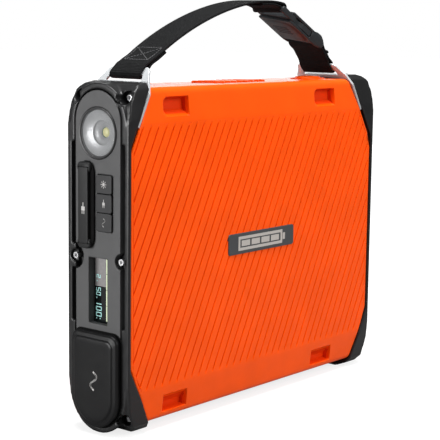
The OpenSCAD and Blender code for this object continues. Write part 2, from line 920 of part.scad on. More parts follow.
module left_strap_loop() {
    sewn_loop(left_bar, -left_lean)
        keep_x(left_eye[0] - 2, left_joint_x - joint_gap / 2) band(arch_curve, -web_t, web_t, 24);
}

module right_strap_loop() {
    sewn_loop(right_bar, right_lean)
        keep_x(right_joint_x + joint_gap / 2, right_eye[0] + 2)
            band(short_curve, -web_t, web_t, 8);
}

// Webbing round a bar of the buckle, joined to its band
module buckle_loop(u) {
    difference() {
        union() {
            on_buckle() buckle_bar(u, buckle_bar_r + loop_clear + web_t, web_w);
            children();
        }
        on_buckle() buckle_bar(u, buckle_bar_r + loop_clear, web_w + 4 * over);
    }
}

module long_webbing() {
    color(black) buckle_loop(male_bar_u) along_y(web_w) {
        keep_x(left_joint_x + joint_gap / 2, buckle_x)
            band(arch_curve, -web_t / 2, web_t / 2, 24);
        keep_x(left_joint_x + joint_gap / 2, -97) band(arch_curve, -web_t * 1.5, 0, 24);
    }
}

module short_webbing() {
    color(black) buckle_loop(female_bar_u) along_y(web_w)
        keep_x(female_bar[0] - 2, right_joint_x - joint_gap / 2)
            band(short_curve, -web_t, web_t, 8);
}

on_ground() front_shell();
on_ground() rear_shell();
on_ground() left_end_cap();
on_ground() right_end_cap();
on_ground() control_panel();
on_ground() panel_gasket();
on_ground() right_port_plate();
on_ground() left_cap_screws();
on_ground() right_cap_screws();
on_ground() lamp_bezel();
on_ground() lamp_lens();
on_ground() lamp_reflector();
on_ground() lamp_led_board();
on_ground() lamp_led();
on_ground() display_window();
on_ground() display_module();
on_ground() button_board();
on_ground() light_button();
on_ground() usb_button();
on_ground() ac_button();
on_ground() usb_cover();
on_ground() usb_cover_tether();
on_ground() usb_ports();
on_ground() ac_cover();
on_ground() ac_cover_pin();
on_ground() ac_outlet();
on_ground() jump_cover();
on_ground() jump_cover_pin();
on_ground() jump_socket();
on_ground() charge_socket();
on_ground() nameplate();
on_ground() battery_cells();
on_ground() cell_holders();
on_ground() cell_busbars();
on_ground() battery_board();
on_ground() battery_leads();
on_ground() main_board();
on_ground() inverter_board();
on_ground() transformer();
on_ground() heat_sink();
on_ground() capacitors();
on_ground() fan_frame();
on_ground() fan_rotor();
on_ground() left_strap_bracket();
on_ground() right_strap_bracket();
on_ground() left_strap_loop();
on_ground() right_strap_loop();
on_ground() long_webbing();
on_ground() short_webbing();
on_ground() buckle_male();
on_ground() buckle_female();
on_ground() front_prong();
on_ground() rear_prong();
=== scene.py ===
import json
from math import acos, atan2, copysign, cos, degrees, hypot, pi, radians, sin, tan

import bmesh
import bpy
from mathutils import Matrix, Vector


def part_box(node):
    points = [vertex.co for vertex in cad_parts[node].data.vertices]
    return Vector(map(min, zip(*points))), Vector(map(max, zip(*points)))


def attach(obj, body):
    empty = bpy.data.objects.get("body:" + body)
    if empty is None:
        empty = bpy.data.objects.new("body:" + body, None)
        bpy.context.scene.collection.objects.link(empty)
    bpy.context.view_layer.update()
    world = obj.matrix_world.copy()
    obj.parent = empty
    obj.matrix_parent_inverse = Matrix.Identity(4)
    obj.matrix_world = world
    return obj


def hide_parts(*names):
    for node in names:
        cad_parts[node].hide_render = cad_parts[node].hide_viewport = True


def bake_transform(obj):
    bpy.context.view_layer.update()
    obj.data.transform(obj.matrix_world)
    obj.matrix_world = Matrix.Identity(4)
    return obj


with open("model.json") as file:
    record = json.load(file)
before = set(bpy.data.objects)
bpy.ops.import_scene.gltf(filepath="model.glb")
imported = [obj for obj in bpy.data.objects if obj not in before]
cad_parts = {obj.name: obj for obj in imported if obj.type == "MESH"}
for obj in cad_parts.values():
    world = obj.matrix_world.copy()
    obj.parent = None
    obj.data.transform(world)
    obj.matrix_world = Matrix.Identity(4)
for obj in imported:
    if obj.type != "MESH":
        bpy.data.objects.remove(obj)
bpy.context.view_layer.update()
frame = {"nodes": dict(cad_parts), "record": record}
nodes = frame["nodes"]
scene = bpy.context.scene
MM = 0.001


# ---------- helpers: numbers are millimetres in the CAD frame ----------

def mm_box(node):
    """Lowest and highest corner of a CAD node, in millimetres."""
    low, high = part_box(node)
    return low / MM, high / MM


def mm_middle(node):
    """Middle and half size of a CAD node's box, in millimetres."""
    low, high = mm_box(node)
    return (low + high) / 2, (high - low) / 2


def smooth(t):
    """Eases from 0 to 1."""
    t = min(1.0, max(0.0, t))
    return t * t * (3 - 2 * t)


def lerp(a, b, t):
    return a + (b - a) * t


def interpolate(table, value):
    """Straight-line interpolation in a list of (key, value) pairs."""
    for (k0, v0), (k1, v1) in zip(table, table[1:]):
        if value <= k1:
            return lerp(v0, v1, max(0.0, (value - k0) / (k1 - k0)))
    return table[-1][1]


def fillet(points, radii, steps=6):
    """A polyline with each inner corner rounded by its radius."""
    points = [Vector(p) for p in points]
    out = [points[0]]
    for a, b, c, r in zip(points, points[1:], points[2:], radii):
        to_a, to_c = (a - b).normalized(), (c - b).normalized()
        half = acos(max(-1.0, min(1.0, to_a.dot(to_c)))) / 2
        reach = min(r / tan(half), 0.49 * (a - b).length, 0.49 * (c - b).length)
        start, end = b + to_a * reach, b + to_c * reach
        for k in range(steps + 1):
            t = k / steps
            out.append(start * (1 - t) ** 2 + b * (2 * t * (1 - t)) + end * t * t)
    return out + [points[-1]]


def object_from(name, bm, angle=32):
    """Links a bmesh in millimetres as an object in metres, with soft edges below the angle."""
    bm.transform(Matrix.Scale(MM, 4))
    mesh = bpy.data.meshes.new(name)
    bm.to_mesh(mesh)
    bm.free()
    soften(mesh, angle)
    return linked(bpy.data.objects.new(name, mesh))


def linked(obj):
    """Puts a new object in the scene."""
    scene.collection.objects.link(obj)
    return obj


def soften(mesh, angle):
    mesh.shade_smooth()
    mesh.set_sharp_from_angle(angle=radians(angle))


def apply_modifiers(obj):
    graph = bpy.context.evaluated_depsgraph_get()
    mesh = bpy.data.meshes.new_from_object(obj.evaluated_get(graph))
    obj.modifiers.clear()
    old = obj.data
    obj.data = mesh
    bpy.data.meshes.remove(old)


def place(obj, material, body="root", replaced=()):
    """Gives a finished piece its material, its body and the CAD nodes it stands for."""
    obj.data.materials.clear()
    obj.data.materials.append(material)
    if replaced:
        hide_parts(*replaced)
    if body:
        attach(obj, body)
    return obj


def face_out(bm):
    """Turns the faces of closed surfaces outwards."""
    bmesh.ops.recalc_face_normals(bm, faces=bm.faces)


def solid(name, bm, angle, material, body="root", replaced=()):
    """A finished piece made of a bmesh of closed surfaces."""
    face_out(bm)
    return place(object_from(name, bm, angle), material, body, replaced)


def add_cut(obj, cutter):
    """Adds a modifier that takes the cutter's shape away."""
    cut = obj.modifiers.new("cut", "BOOLEAN")
    cut.object = cutter
    cut.solver = "EXACT"


def add_grid(bm, rows, closed=False):
    """Adds a sheet of quads through rows of points; closed joins each row's ends."""
    made = [[bm.verts.new(p) for p in row] for row in rows]
    count = len(made[0])
    for a, b in zip(made, made[1:]):
        for i in range(count if closed else count - 1):
            j = (i + 1) % count
            bm.faces.new((a[i], a[j], b[j], b[i]))
    return made


def add_loft(bm, rings):
    """Adds a closed solid through rings of points, with flat ends."""
    made = add_grid(bm, rings, closed=True)
    bm.faces.new(list(reversed(made[0])))
    bm.faces.new(made[-1])


def turns(count):
    """Equal angles all the way round."""
    return [2 * pi * k / count for k in range(count)]


def moulded(node, material, body="root", voxel=0.5, rounds=3, keep=0.4, extra=None):
    """A copy of a CAD node, with extra solids, and edges rounded as in moulding or by wear."""
    obj = linked(bpy.data.objects.new(node + "_moulded", nodes[node].data.copy()))
    bm = bmesh.new()
    bm.from_mesh(obj.data)
    bmesh.ops.remove_doubles(bm, verts=bm.verts, dist=0.01 * MM)
    if extra:
        bm.transform(Matrix.Scale(1 / MM, 4))
        extra(bm)
        bm.transform(Matrix.Scale(MM, 4))
        face_out(bm)
    bm.to_mesh(obj.data)
    bm.free()
    remesh = obj.modifiers.new("remesh", "REMESH")
    remesh.mode = "VOXEL"
    remesh.voxel_size = voxel * MM * 1
    relax = obj.modifiers.new("relax", "SMOOTH")
    relax.factor = 0.5
    relax.iterations = rounds
    thin = obj.modifiers.new("thin", "DECIMATE")
    thin.ratio = keep
    apply_modifiers(obj)
    obj.data.shade_smooth()
    return place(obj, material, body, (node,))


# ---------- materials ----------

class Surface:
    """A Principled material whose colour, roughness and bump follow noises."""

    def __init__(self, name, colour, rough, **sockets):
        self.material = bpy.data.materials.new(name)
        self.material.use_nodes = True
        self.tree = self.material.node_tree
        self.shader = self.tree.nodes["Principled BSDF"]
        self.colour = colour
        self.rough = rough
        for socket, value in dict(sockets, Base_Color=(*colour, 1), Roughness=rough).items():
            self.shader.inputs[socket.replace("_", " ")].default_value = value
        self.coordinates = self.tree.nodes.new("ShaderNodeTexCoord").outputs["Object"]
        self.bumped = None

    def node(self, kind, inputs=(), **values):
        """A new node with values for its sockets and for its properties."""
        made = self.tree.nodes.new(kind)
        for socket, value in dict(inputs).items():
            made.inputs[socket].default_value = value
        for key, value in values.items():
            setattr(made, key, value)
        return made

    def link(self, a, b):
        self.tree.links.new(a, b)

    def noise(self, size, stretch=(1, 1, 1)):
        """Noise whose grains are about size millimetres across, unless stretched."""
        texture = self.node("ShaderNodeTexNoise", {"Scale": 1 / (size * MM), "Detail": 3.0})
        mapping = self.node("ShaderNodeMapping", {"Scale": stretch})
        self.link(self.coordinates, mapping.inputs["Vector"])
        self.link(mapping.outputs["Vector"], texture.inputs["Vector"])
        return texture.outputs["Fac"]

    def ranged(self, source, low, high, start=0.3, end=0.7):
        """Maps a value from one range to another."""
        mapped = self.node("ShaderNodeMapRange", {"From Min": start, "From Max": end,
                                                  "To Min": low, "To Max": high})
        self.link(source, mapped.inputs["Value"])
        return mapped.outputs["Result"]

    def mottle(self, size, spread):
        """Lets the colour wander by a share of itself."""
        ramp = self.node("ShaderNodeValToRGB")
        ramp.color_ramp.elements[0].position = 0.3
        ramp.color_ramp.elements[1].position = 0.7
        for element, factor in zip(ramp.color_ramp.elements, (1 - spread, 1 + spread)):
            element.color = (*[min(1.0, c * factor) for c in self.colour], 1)
        self.link(self.noise(size), ramp.inputs["Fac"])
        self.link(ramp.outputs["Color"], self.shader.inputs["Base Color"])
        return self

    def uneven(self, size, spread, stretch=(1, 1, 1)):
        """Lets the roughness wander."""
        wander = self.ranged(self.noise(size, stretch), self.rough - spread, self.rough + spread)
        self.link(wander, self.shader.inputs["Roughness"])
        return self

    def bump(self, height, depth, strength=0.6):
        """Adds a bump of depth millimetres on top of those already there."""
        bump = self.node("ShaderNodeBump", {"Distance": depth * MM, "Strength": strength})
        self.link(height, bump.inputs["Height"])
        if self.bumped:
            self.link(self.bumped, bump.inputs["Normal"])
        self.bumped = bump.outputs["Normal"]
        self.link(self.bumped, self.shader.inputs["Normal"])
        return self

    def grain(self, size, depth, strength=0.6, stretch=(1, 1, 1)):
        return self.bump(self.noise(size, stretch), depth, strength)


def plastic(name, colour, rough, grain=0.5, depth=0.03, shine=0.5, **sockets):
    """Moulded plastic with a fine spark grain."""
    made = Surface(name, colour, rough, Specular_IOR_Level=shine, **sockets)
    return made.mottle(30, 0.06).uneven(8, 0.05).grain(grain, depth).material


def metal(name, colour, rough, stretch, metallic=1.0):
    """Metal brushed across the stretch."""
    made = Surface(name, colour, rough, Metallic=metallic)
    return made.mottle(12, 0.08).uneven(0.4, 0.07, stretch).grain(0.3, 0.01, 0.4, stretch).material


def weave(name, colour):
    """Woven webbing: warp ridges along it, weft picks across it."""
    made = Surface(name, colour, 0.7, Specular_IOR_Level=0.1, Sheen_Weight=0.01,
                   Sheen_Roughness=0.35, Sheen_Tint=(0.8, 0.82, 0.85, 1))
    made.mottle(5, 0.25)
    layout = made.node("ShaderNodeUVMap", uv_map="along").outputs["UV"]
    for direction, period in (("X", 1.5), ("Y", 1.15)):
        values = {"Scale": pi / (10 * period), "Distortion": 0.3}
        wave = made.node("ShaderNodeTexWave", values, bands_direction=direction)
        made.link(layout, wave.inputs["Vector"])
        made.bump(wave.outputs["Fac"], 0.3, 1.0)
    return made.grain(0.25, 0.05).material


def glowing(name, colour, light):
    """A smooth surface that gives off a little of its own colour."""
    made = Surface(name, colour, 0.4, Emission_Color=(*colour, 1), Emission_Strength=light)
    return made.mottle(2, 0.1).material


orange = plastic("satin_orange", (0.96, 0.086, 0.0012), 0.34, 0.35, 0.012, 0.22,
                 Specular_Tint=(1.0, 0.5, 0.25, 1), Coat_Weight=0.12, Coat_Roughness=0.25)
# Darker orange for groove floors and pocket insides: painted shade, not a second plastic.
orange_painted_shade = plastic("satin_orange_painted_shade", (0.75, 0.042, 0.001), 0.5, 0.35, 0.012, 0.1)
cap_black = plastic("cap_black", (0.008, 0.008, 0.0085), 0.33, 0.6, 0.02, 0.36)
panel_grey = plastic("panel_grey", (0.056, 0.056, 0.057), 0.55, 0.45, 0.03, 0.4)
rubber = plastic("rubber_black", (0.008, 0.008, 0.0084), 0.5, 0.8, 0.03, 0.25)
# Near-black for the USB flap's rim and bar wall and for the sheets round the port covers: painted
# shade.
rubber_painted_shade = plastic("rubber_black_painted_shade", (0.003, 0.003, 0.003), 0.8, 0.8, 0.03, 0.1)
cover_black = plastic("cover_black", (0.0045, 0.0045, 0.0048), 0.38, 0.5, 0.03, 0.2)
button_black = plastic("button_black", (0.014, 0.014, 0.015), 0.5, 0.4, 0.02, 0.35)
buckle_black = plastic("buckle_black", (0.019, 0.021, 0.023), 0.45, 0.5, 0.02, 0.25)
bezel_black = plastic("bezel_black", (0.03, 0.03, 0.031), 0.36, 0.5, 0.015)
plate_grey = plastic("plate_grey", (0.045, 0.047, 0.05), 0.4, 0.4, 0.02)
label_pale = plastic("label_pale", (0.42, 0.41, 0.4), 0.6, 0.4, 0.01)
plate_pale = plastic("plate_pale", (0.44, 0.41, 0.38), 0.5, 0.4, 0.01)
webbing = weave("webbing", (0.0035, 0.0037, 0.004))
thread = plastic("thread", (0.05, 0.05, 0.052), 0.8, 0.15, 0.04)
steel = metal("brushed_steel", (0.44, 0.455, 0.465), 0.4, (1, 0.06, 1), 0.25)
bowl = Surface("reflector_bowl", (0.24, 0.243, 0.247), 0.36, Metallic=0.5)
bowl = bowl.mottle(6, 0.06).grain(0.8, 0.02).material
phosphor = glowing("phosphor", (0.42, 0.4, 0.13), 0.1)
teal = glowing("digit_teal", (0.3, 0.55, 0.53), 0.3)
pale_field = glowing("pale_field", (0.2, 0.19, 0.19), 0.02)
pale_line = glowing("pale_line", (0.55, 0.62, 0.42), 0.2)
clear = Surface("clear_lens", (0.86, 0.88, 0.9), 0.12, Alpha=0.07, Coat_Weight=0.2)
clear = clear.uneven(5, 0.02).grain(4.0, 0.01).material

SLOT_MATERIALS = dict(
    shell_orange=orange, cap_black=cap_black, panel_grey=panel_grey, rubber_black=rubber,
    cover_black=cover_black, button_black=button_black, bracket_steel=steel,
    bezel_black=bezel_black, lens_clear=clear, reflector=bowl, led_yellow=phosphor,
    nameplate=plate_grey, webbing=webbing, buckle_black=buckle_black,
    socket_black=plastic("socket_black", (0.015, 0.015, 0.015), 0.45),
    socket_blue=plastic("socket_blue", (0.015, 0.05, 0.22), 0.4),
    board_green=plastic("board_green", (0.02, 0.16, 0.07), 0.3, 1.2, 0.02, Coat_Weight=0.5),
    display_body=plastic("display_dark", (0.008, 0.012, 0.012), 0.3, 1.0, 0.005),
    display_glass=plastic("smoked_glass", (0.004, 0.006, 0.006), 0.1, 5.0, 0.002),
    cell_wrap=plastic("cell_wrap", (0.05, 0.2, 0.45), 0.35, 3.0, 0.02, Coat_Weight=0.4),
    capacitor=plastic("capacitor_blue", (0.02, 0.03, 0.16), 0.3, 3.0, 0.02),
    lead_rubber=plastic("lead_red", (0.4, 0.015, 0.012), 0.5, 1.0, 0.03),
    screw_steel=metal("turned_steel", (0.68, 0.68, 0.69), 0.27, (0.2, 1, 1)),
    nickel=metal("nickel_strip", (0.62, 0.58, 0.5), 0.35, (0.1, 1, 1)),
    heat_sink=metal("aluminium", (0.7, 0.71, 0.73), 0.38, (1, 1, 0.05)),
    winding=metal("winding_copper", (0.55, 0.26, 0.1), 0.35, (1, 1, 8)))


def paint_cad_nodes():
    """Every CAD node that stays gets the finish of its slot."""
    for row in frame["record"]["subparts"]:
        mesh = nodes[row["node"]].data
        mesh.materials.clear()
        mesh.materials.append(SLOT_MATERIALS[row["material_slot"]])


# ---------- coloured shells ----------

SHELL_Y = 29.0               # flat face of a shell
FACE_FROM = 26.0             # where that face's rows start, from the middle
SHELL_LOW, SHELL_HIGH = 3.5, 246.0
FACE_LOW, FACE_HIGH = 31.0, 221.0
SHELL_WALL = 2.2
SPLIT_GAP = 0.08             # from the middle plane to each shell
SEAM_LEFT = [(0, -122.6), (48.8, -146.7), (201.3, -146.7), (249.5, -122.6)]
SEAM_RIGHT = [(0, 122.6), (48.8, 146.7), (194.2, 146.7), (249.5, 113.5)]
EDGE_STEPS = [(0, 1.3), (0.15, 0.75), (0.4, 0.35), (0.8, 0.1), (1.4, 0), (2.4, 0), (3.2, 0), (4.2, 0)]
RIB_MARGIN = 2.8             # from a seam to the ribs
RIB_PITCH = 8.1
RIB_LEAN = 0.5               # sideways run per unit of height
GROOVE = 1.15
GROOVE_DEPTH = 0.9
POCKET_DEPTH = 6.2
VENT_PITCH = 7.0
VENT_TURN = radians(35)
PAD_X = 95.0
TOP_POCKETS = [(-114, -86), (66, 94.5)]
LOW_POCKETS = [(-112, -85.5), (69, 97)]
TOP_POCKET_Z = (225.2, 239.4)
LOW_POCKET_Z = (12.0, 25.0)


def pocket(x, z):
    """Depth of the four hand pockets at a place on a face."""
    depth = 0.0
    for x0, x1 in TOP_POCKETS:
        up, down = z - TOP_POCKET_Z[0], TOP_POCKET_Z[1] - z
        lead = 3 * (1 - smooth(down / 4)) + 1.6 * (1 - smooth(up / 3))
        if x0 < x < x1 and up > 0 and down > 0:
            sides = smooth((x - x0 - lead) / 6.5) * smooth((x1 - x) / 0.9)
            depth = POCKET_DEPTH * sides * min(1, up / 5.2) ** 0.9 * smooth(down / 1.1)
    for x0, x1 in LOW_POCKETS:
        up, down = z - LOW_POCKET_Z[0], LOW_POCKET_Z[1] - z
        if x0 < x < x1 and up > 0 and down > 0:
            sides = smooth((x - x0) / 1.8) * smooth((x1 - x) / 0.9)
            depth = POCKET_DEPTH * sides * smooth(up / 0.8) * min(1, down / 8) ** 0.8
    return depth


def spread(start, stop, step):
    """Equal steps of about a given length, without the stop itself."""
    count = round((stop - start) / step)
    return [lerp(start, stop, k / count) for k in range(count)]


def thinned(items, gap, distance):
    """Leaves out what is within a gap of the item kept before it."""
    kept = [items[0]]
    for item in items[1:]:
        if distance(item, kept[-1]) > gap:
            kept.append(item)
    return kept


def shell_columns():
    """Places along X of the grid's middle columns, close together at the pockets."""
    marks = [-116, -78, 99.5] + spread(-82, 62, 9)
    for x0, x1 in TOP_POCKETS + LOW_POCKETS:
        marks += [x0 + d for d in (-0.5, 0, 0.4, 0.9, 1.5, 2.2, 3.2, 4.4, 5.6, 7)]
        marks += [x1 - d for d in (-0.5, 0, 0.2, 0.45, 0.9, 1.4, 3, 6)]
    marks = sorted(set(round(m, 2) for m in marks))
    return thinned(marks, 0.18, lambda m, last: m - last)


def shell_rows():
    """Points (outwards, up) of the section from the middle of the top round to the bottom."""
    path = fillet([(SPLIT_GAP, SHELL_HIGH), (26.62, SHELL_HIGH), (SHELL_Y, FACE_HIGH),
                   (SHELL_Y, FACE_LOW), (26.75, 8.4), (15, SHELL_LOW), (SPLIT_GAP, SHELL_LOW)],
                  [5.5, 60, 60, 5, 6], steps=8)
    levels = [TOP_POCKET_Z[1] - d for d in (0, 0.25, 0.55, 0.85, 1.2, 3, 5)]
    levels += [TOP_POCKET_Z[0] + d for d in (-0.5, 0, 0.6, 2, 3.6, 4.6, 5.2)]
    levels += [LOW_POCKET_Z[1] - d for d in (-0.5, 0, 0.4, 0.9, 1.8, 3, 4.5, 6, 7.2, 8, 9)]
    levels += [LOW_POCKET_Z[0] + d for d in (-0.4, 0, 0.2, 0.4, 0.6, 0.8, 1.4)]
    levels += [FACE_LOW + d for d in (0, 1, 2, 3, 4)] + [FACE_HIGH - d for d in (0, 1, 2, 3, 4)]
    levels += spread(FACE_LOW + 6, FACE_HIGH - 6, 14)
    rows = [path[0]]
    for a, b in zip(path, path[1:]):
        inside = [z for z in levels if b.y < z < a.y and a.x > 20 and a.y - b.y > 0.01]
        rows += [a.lerp(b, (a.y - z) / (a.y - b.y)) for z in sorted(set(inside), reverse=True)]
        rows.append(b)
    return thinned(rows, 0.12, lambda p, last: (p - last).length)


def shell_skin(side):
    """The outer face of one shell, as an open grid."""
    bm = bmesh.new()
    columns = shell_columns()
    rows = shell_rows()
    grid = []
    for i, p in enumerate(rows):
        before, after = rows[max(0, i - 1)], rows[min(len(rows) - 1, i + 1)]
        along = (after - before).normalized()
        outward = Vector((-along.y, along.x))
        left, right = interpolate(SEAM_LEFT, p.y), interpolate(SEAM_RIGHT, p.y)
        places = [(left + o, drop, o) for o, drop in EDGE_STEPS]
        places += [(x, 0, 9) for x in columns]
        places += [(right - o, drop, o) for o, drop in reversed(EDGE_STEPS)]
        sunk = GROOVE_DEPTH * smooth((p.y - FACE_LOW) / 4) * smooth((FACE_HIGH - p.y) / 4)
        points = []
        for x, depth, off in places:
            if p.x > FACE_FROM:
                depth += pocket(x, p.y) + (sunk if off > 3 else 0)
            q = p - outward * depth
            points.append((x, side * q.x, q.y))
        grid.append(points)
    add_grid(bm, grid)
    face_out(bm)
    face = Vector((0, side * SHELL_Y, 125))
    middle = min(bm.faces, key=lambda f: (f.calc_center_median() - face).length)
    if middle.normal.y * side < 0:
        bmesh.ops.reverse_faces(bm, faces=bm.faces)
    return bm


def add_ribs(bm, side):
    """Slanted flat ribs, cut off at the seams and at the smooth bands."""
    made = bmesh.new()
    low, high = FACE_LOW - 1, FACE_HIGH + 1
    width = RIB_PITCH - GROOVE
    profile = [(0, GROOVE_DEPTH + 0.3), (0, 0.3), (0.35, 0), (width - 0.35, 0), (width, 0.3),
               (width, GROOVE_DEPTH + 0.3)]
    for k in range(-34, 20):
        start = k * RIB_PITCH + 6.4
        add_loft(made, [[(start + shift + x, side * (SHELL_Y - d), z) for x, d in profile]
                        for z, shift in ((low, 0), (high, RIB_LEAN * (high - low)))])
    cuts = [((0, 0, FACE_LOW + 0.4), (0, 0, -1)), ((0, 0, FACE_HIGH - 0.4), (0, 0, 1))]
    for seam, out in ((SEAM_LEFT, -1), (SEAM_RIGHT, 1)):
        for (z0, x0), (z1, x1) in zip(seam, seam[1:]):
            normal = Vector((z1 - z0, 0, x0 - x1)).normalized() * out
            point = Vector((x0, 0, z0)) - normal * RIB_MARGIN
            cuts.append((point, normal))
    for point, normal in cuts:
        everything = made.verts[:] + made.edges[:] + made.faces[:]
        bmesh.ops.bisect_plane(made, geom=everything, plane_co=point, plane_no=normal,
                               clear_outer=True)
        bmesh.ops.holes_fill(made, edges=[e for e in made.edges if e.is_boundary], sides=0)
    face_out(made)
    mesh = bpy.data.meshes.new("ribs")
    made.to_mesh(mesh)
    made.free()
    bm.from_mesh(mesh)
    bpy.data.meshes.remove(mesh)


def vent_place(step):
    """Place of a slot or bar of the vent, a number of steps from the fan's axis."""
    x = mm_middle("fan_rotor")[0].x + VENT_PITCH * step
    return Matrix.Translation((x, 0, SHELL_HIGH)) @ Matrix.Rotation(VENT_TURN, 4, "Z")


def vent_cutter():
    """Slanted slots through the top, where the fan blows out."""
    bm = bmesh.new()
    for i in range(-3, 4):
        bmesh.ops.create_cube(bm, size=1, matrix=vent_place(i) @ Matrix.Diagonal((2.2, 24, 8, 1)))
    return object_from("vent_cutter", bm)


def build_shell(name, side, node, cutter):
    """One shell: a skin with a wall and vents, flat ribs, and painted shade, a darker orange, on its
    groove floors and deep pocket insides.
    """
    skin = object_from(name, shell_skin(side))
    wall = skin.modifiers.new("wall", "SOLIDIFY")
    wall.thickness = SHELL_WALL * MM
    wall.offset = -1
    add_cut(skin, cutter)
    apply_modifiers(skin)
    bm = bmesh.new()
    bm.from_mesh(skin.data)
    bm.transform(Matrix.Scale(1 / MM, 4))
    add_ribs(bm, side)
    bm.transform(Matrix.Scale(MM, 4))
    bm.to_mesh(skin.data)
    bm.free()
    soften(skin.data, 40)
    place(skin, orange, "root", (node,))
    # Groove floors and the deep part of each pocket take the darker orange: painted shade in the
    # hollows.
    skin.data.materials.append(orange_painted_shade)
    for face in skin.data.polygons:
        x, y, z = face.center / MM
        in_groove = FACE_LOW + 1 < z < FACE_HIGH - 1 and abs(abs(y) - SHELL_Y + GROOVE_DEPTH) < 0.1
        if in_groove or pocket(x, z) > 0.45 * POCKET_DEPTH:
            face.material_index = 1


def top_pad():
    """Oval pad beside the right bracket, with a shallow groove round it."""
    levels = [(17, -0.6), (17, 0.4), (16.4, 0.8), (14.6, 0.8), (14.2, 0.2), (13.2, 0.2),
              (12.8, 1.4), (11.8, 2.0), (8, 2.3), (3, 2.4)]
    bm = bmesh.new()
    add_loft(bm, [[(PAD_X + r * cos(a), r * 0.72 * sin(a), SHELL_HIGH + height)
                   for a in turns(72)] for r, height in levels])
    solid("top_pad", bm, 50, orange)


def vent_slats():
    """Raised bars between the slots of the vent."""
    bm = bmesh.new()
    for i in range(-4, 4):
        turn = vent_place(i + 0.5)
        add_loft(bm, [[turn @ Vector((x, y, height)) for x, y in rectangle(-w, -l, w, l)]
                      for w, l, height in ((1.7, 12.5, -0.5), (1.7, 12.5, 0.9), (1.2, 12.0, 1.4))])
    solid("vent_slats", bm, 30, orange)


# ---------- labels and icons ----------

def rectangle(u0, v0, u1, v1):
    return [(u0, v0), (u1, v0), (u1, v1), (u0, v1)]


def frame_of(u0, v0, u1, v1, line):
    """Four bars round a rectangle."""
    inner0, inner1 = v0 + line, v1 - line
    return [rectangle(u0, v0, u1, inner0), rectangle(u0, inner1, u1, v1),
            rectangle(u0, inner0, u0 + line, inner1), rectangle(u1 - line, inner0, u1, inner1)]


def stroke(points, line):
    """A thick open line as one rectangle for each stretch."""
    shapes = []
    for (u0, v0), (u1, v1) in zip(points, points[1:]):
        along = Vector((u1 - u0, v1 - v0)).normalized() * (line / 2)
        across = Vector((-along.y, along.x))
        a, b = Vector((u0, v0)) - along * 0.6, Vector((u1, v1)) + along * 0.6
        shapes.append([tuple(p) for p in (a - across, b - across, b + across, a + across)])
    return shapes


def sun_icon(size):
    """A disc with eight rays."""
    shapes = [[(size * 0.22 * cos(a), size * 0.22 * sin(a)) for a in turns(20)]]
    for a in turns(8):
        ray = [(size * r * cos(a), size * r * sin(a)) for r in (0.32, 0.5)]
        shapes += stroke(ray, size * 0.09)
    return shapes


def plug_icon(size):
    """A cable plug, seen from the side."""
    s = size / 2
    return [rectangle(-s * 0.3, -s * 0.42, s * 0.4, s * 0.42),
            rectangle(s * 0.4, 0.14 * s, s, 0.3 * s), rectangle(s * 0.4, -0.3 * s, s, -0.14 * s),
            rectangle(-s, -0.09 * s, -s * 0.3, 0.09 * s)]


def wave_icon(size):
    """One period of a sine wave."""
    steps = 14
    points = [(lerp(-size / 2, size / 2, k / steps),
               size * 0.24 * sin(2 * pi * k / steps)) for k in range(steps + 1)]
    return stroke(points, size * 0.1)


def side_plane(x, y, z):
    """Plane on the control panel whose reading direction runs down, seen from the end."""
    return Matrix(((0, 0, -1, x), (0, -1, 0, y), (-1, 0, 0, z), (0, 0, 0, 1)))


def draw_icon(name, shapes, plane, material, body="root", height=0.12):
    """Flat shapes of the given height that stand on a plane."""
    bm = bmesh.new()
    for outline in shapes:
        add_loft(bm, [[plane @ Vector((u, v, w)) for u, v in outline] for w in (0, height)])
    solid(name, bm, 20, material, body)


SEGMENTS = {"0": "abcdef", "1": "bc", "2": "abged", "5": "afgcd"}


def digit(char, u, v, w, h, line):
    """A seven segment digit as flat bars."""
    g = line * 0.3
    bars = {
        "a": (g, h - line, w - g, h), "d": (g, 0, w - g, line),
        "g": (g, (h - line) / 2, w - g, (h + line) / 2),
        "f": (0, h / 2 + g, line, h - g), "b": (w - line, h / 2 + g, w, h - g),
        "e": (0, g, line, h / 2 - g), "c": (w - line, g, w, h / 2 - g),
    }
    corners = [bars[key] for key in SEGMENTS[char]]
    return [rectangle(u + a, v + b, u + c, v + d) for a, b, c, d in corners]


def display_graphics():
    """Digits, a pale field and a charge line on the display's glass."""
    middle, half = mm_middle("display_window")
    plane = side_plane(middle.x - half.x - 0.02, middle.y, middle.z + half.z)
    digits = [rectangle(44.4, -8.0, 45.2, -7.2), rectangle(44.4, -4.4, 45.2, -3.6),
              rectangle(29.4, -7.9, 30.4, -7.1), rectangle(17.2, -7.5, 18.2, -6.7)]
    for text, places, v, w, h, line in (("100", (31.4, 36.0, 40.2), -8.2, 3.3, 5.6, 0.75),
                                        ("50", (22.4, 25.6), -8.0, 2.6, 4.6, 0.6),
                                        ("2", (13.0,), -7.6, 2.6, 4.0, 0.6)):
        for char, u in zip(text, places):
            digits += digit(char, u, v, w, h, line)
    draw_icon("display_digits", digits, plane, teal, height=0.08)
    field = [rectangle(0.6, -8.9, 21.4, 1.6)]
    inside = Matrix.Translation((0.01, 0, 0)) @ plane
    draw_icon("display_field", field, inside, pale_field, height=0.03)
    line = [rectangle(0.8 + 11.4 * k, 1.9, 11.9 + 11.4 * k, 3.0) for k in range(4)]
    draw_icon("display_charge_line", line, plane, pale_line, height=0.08)


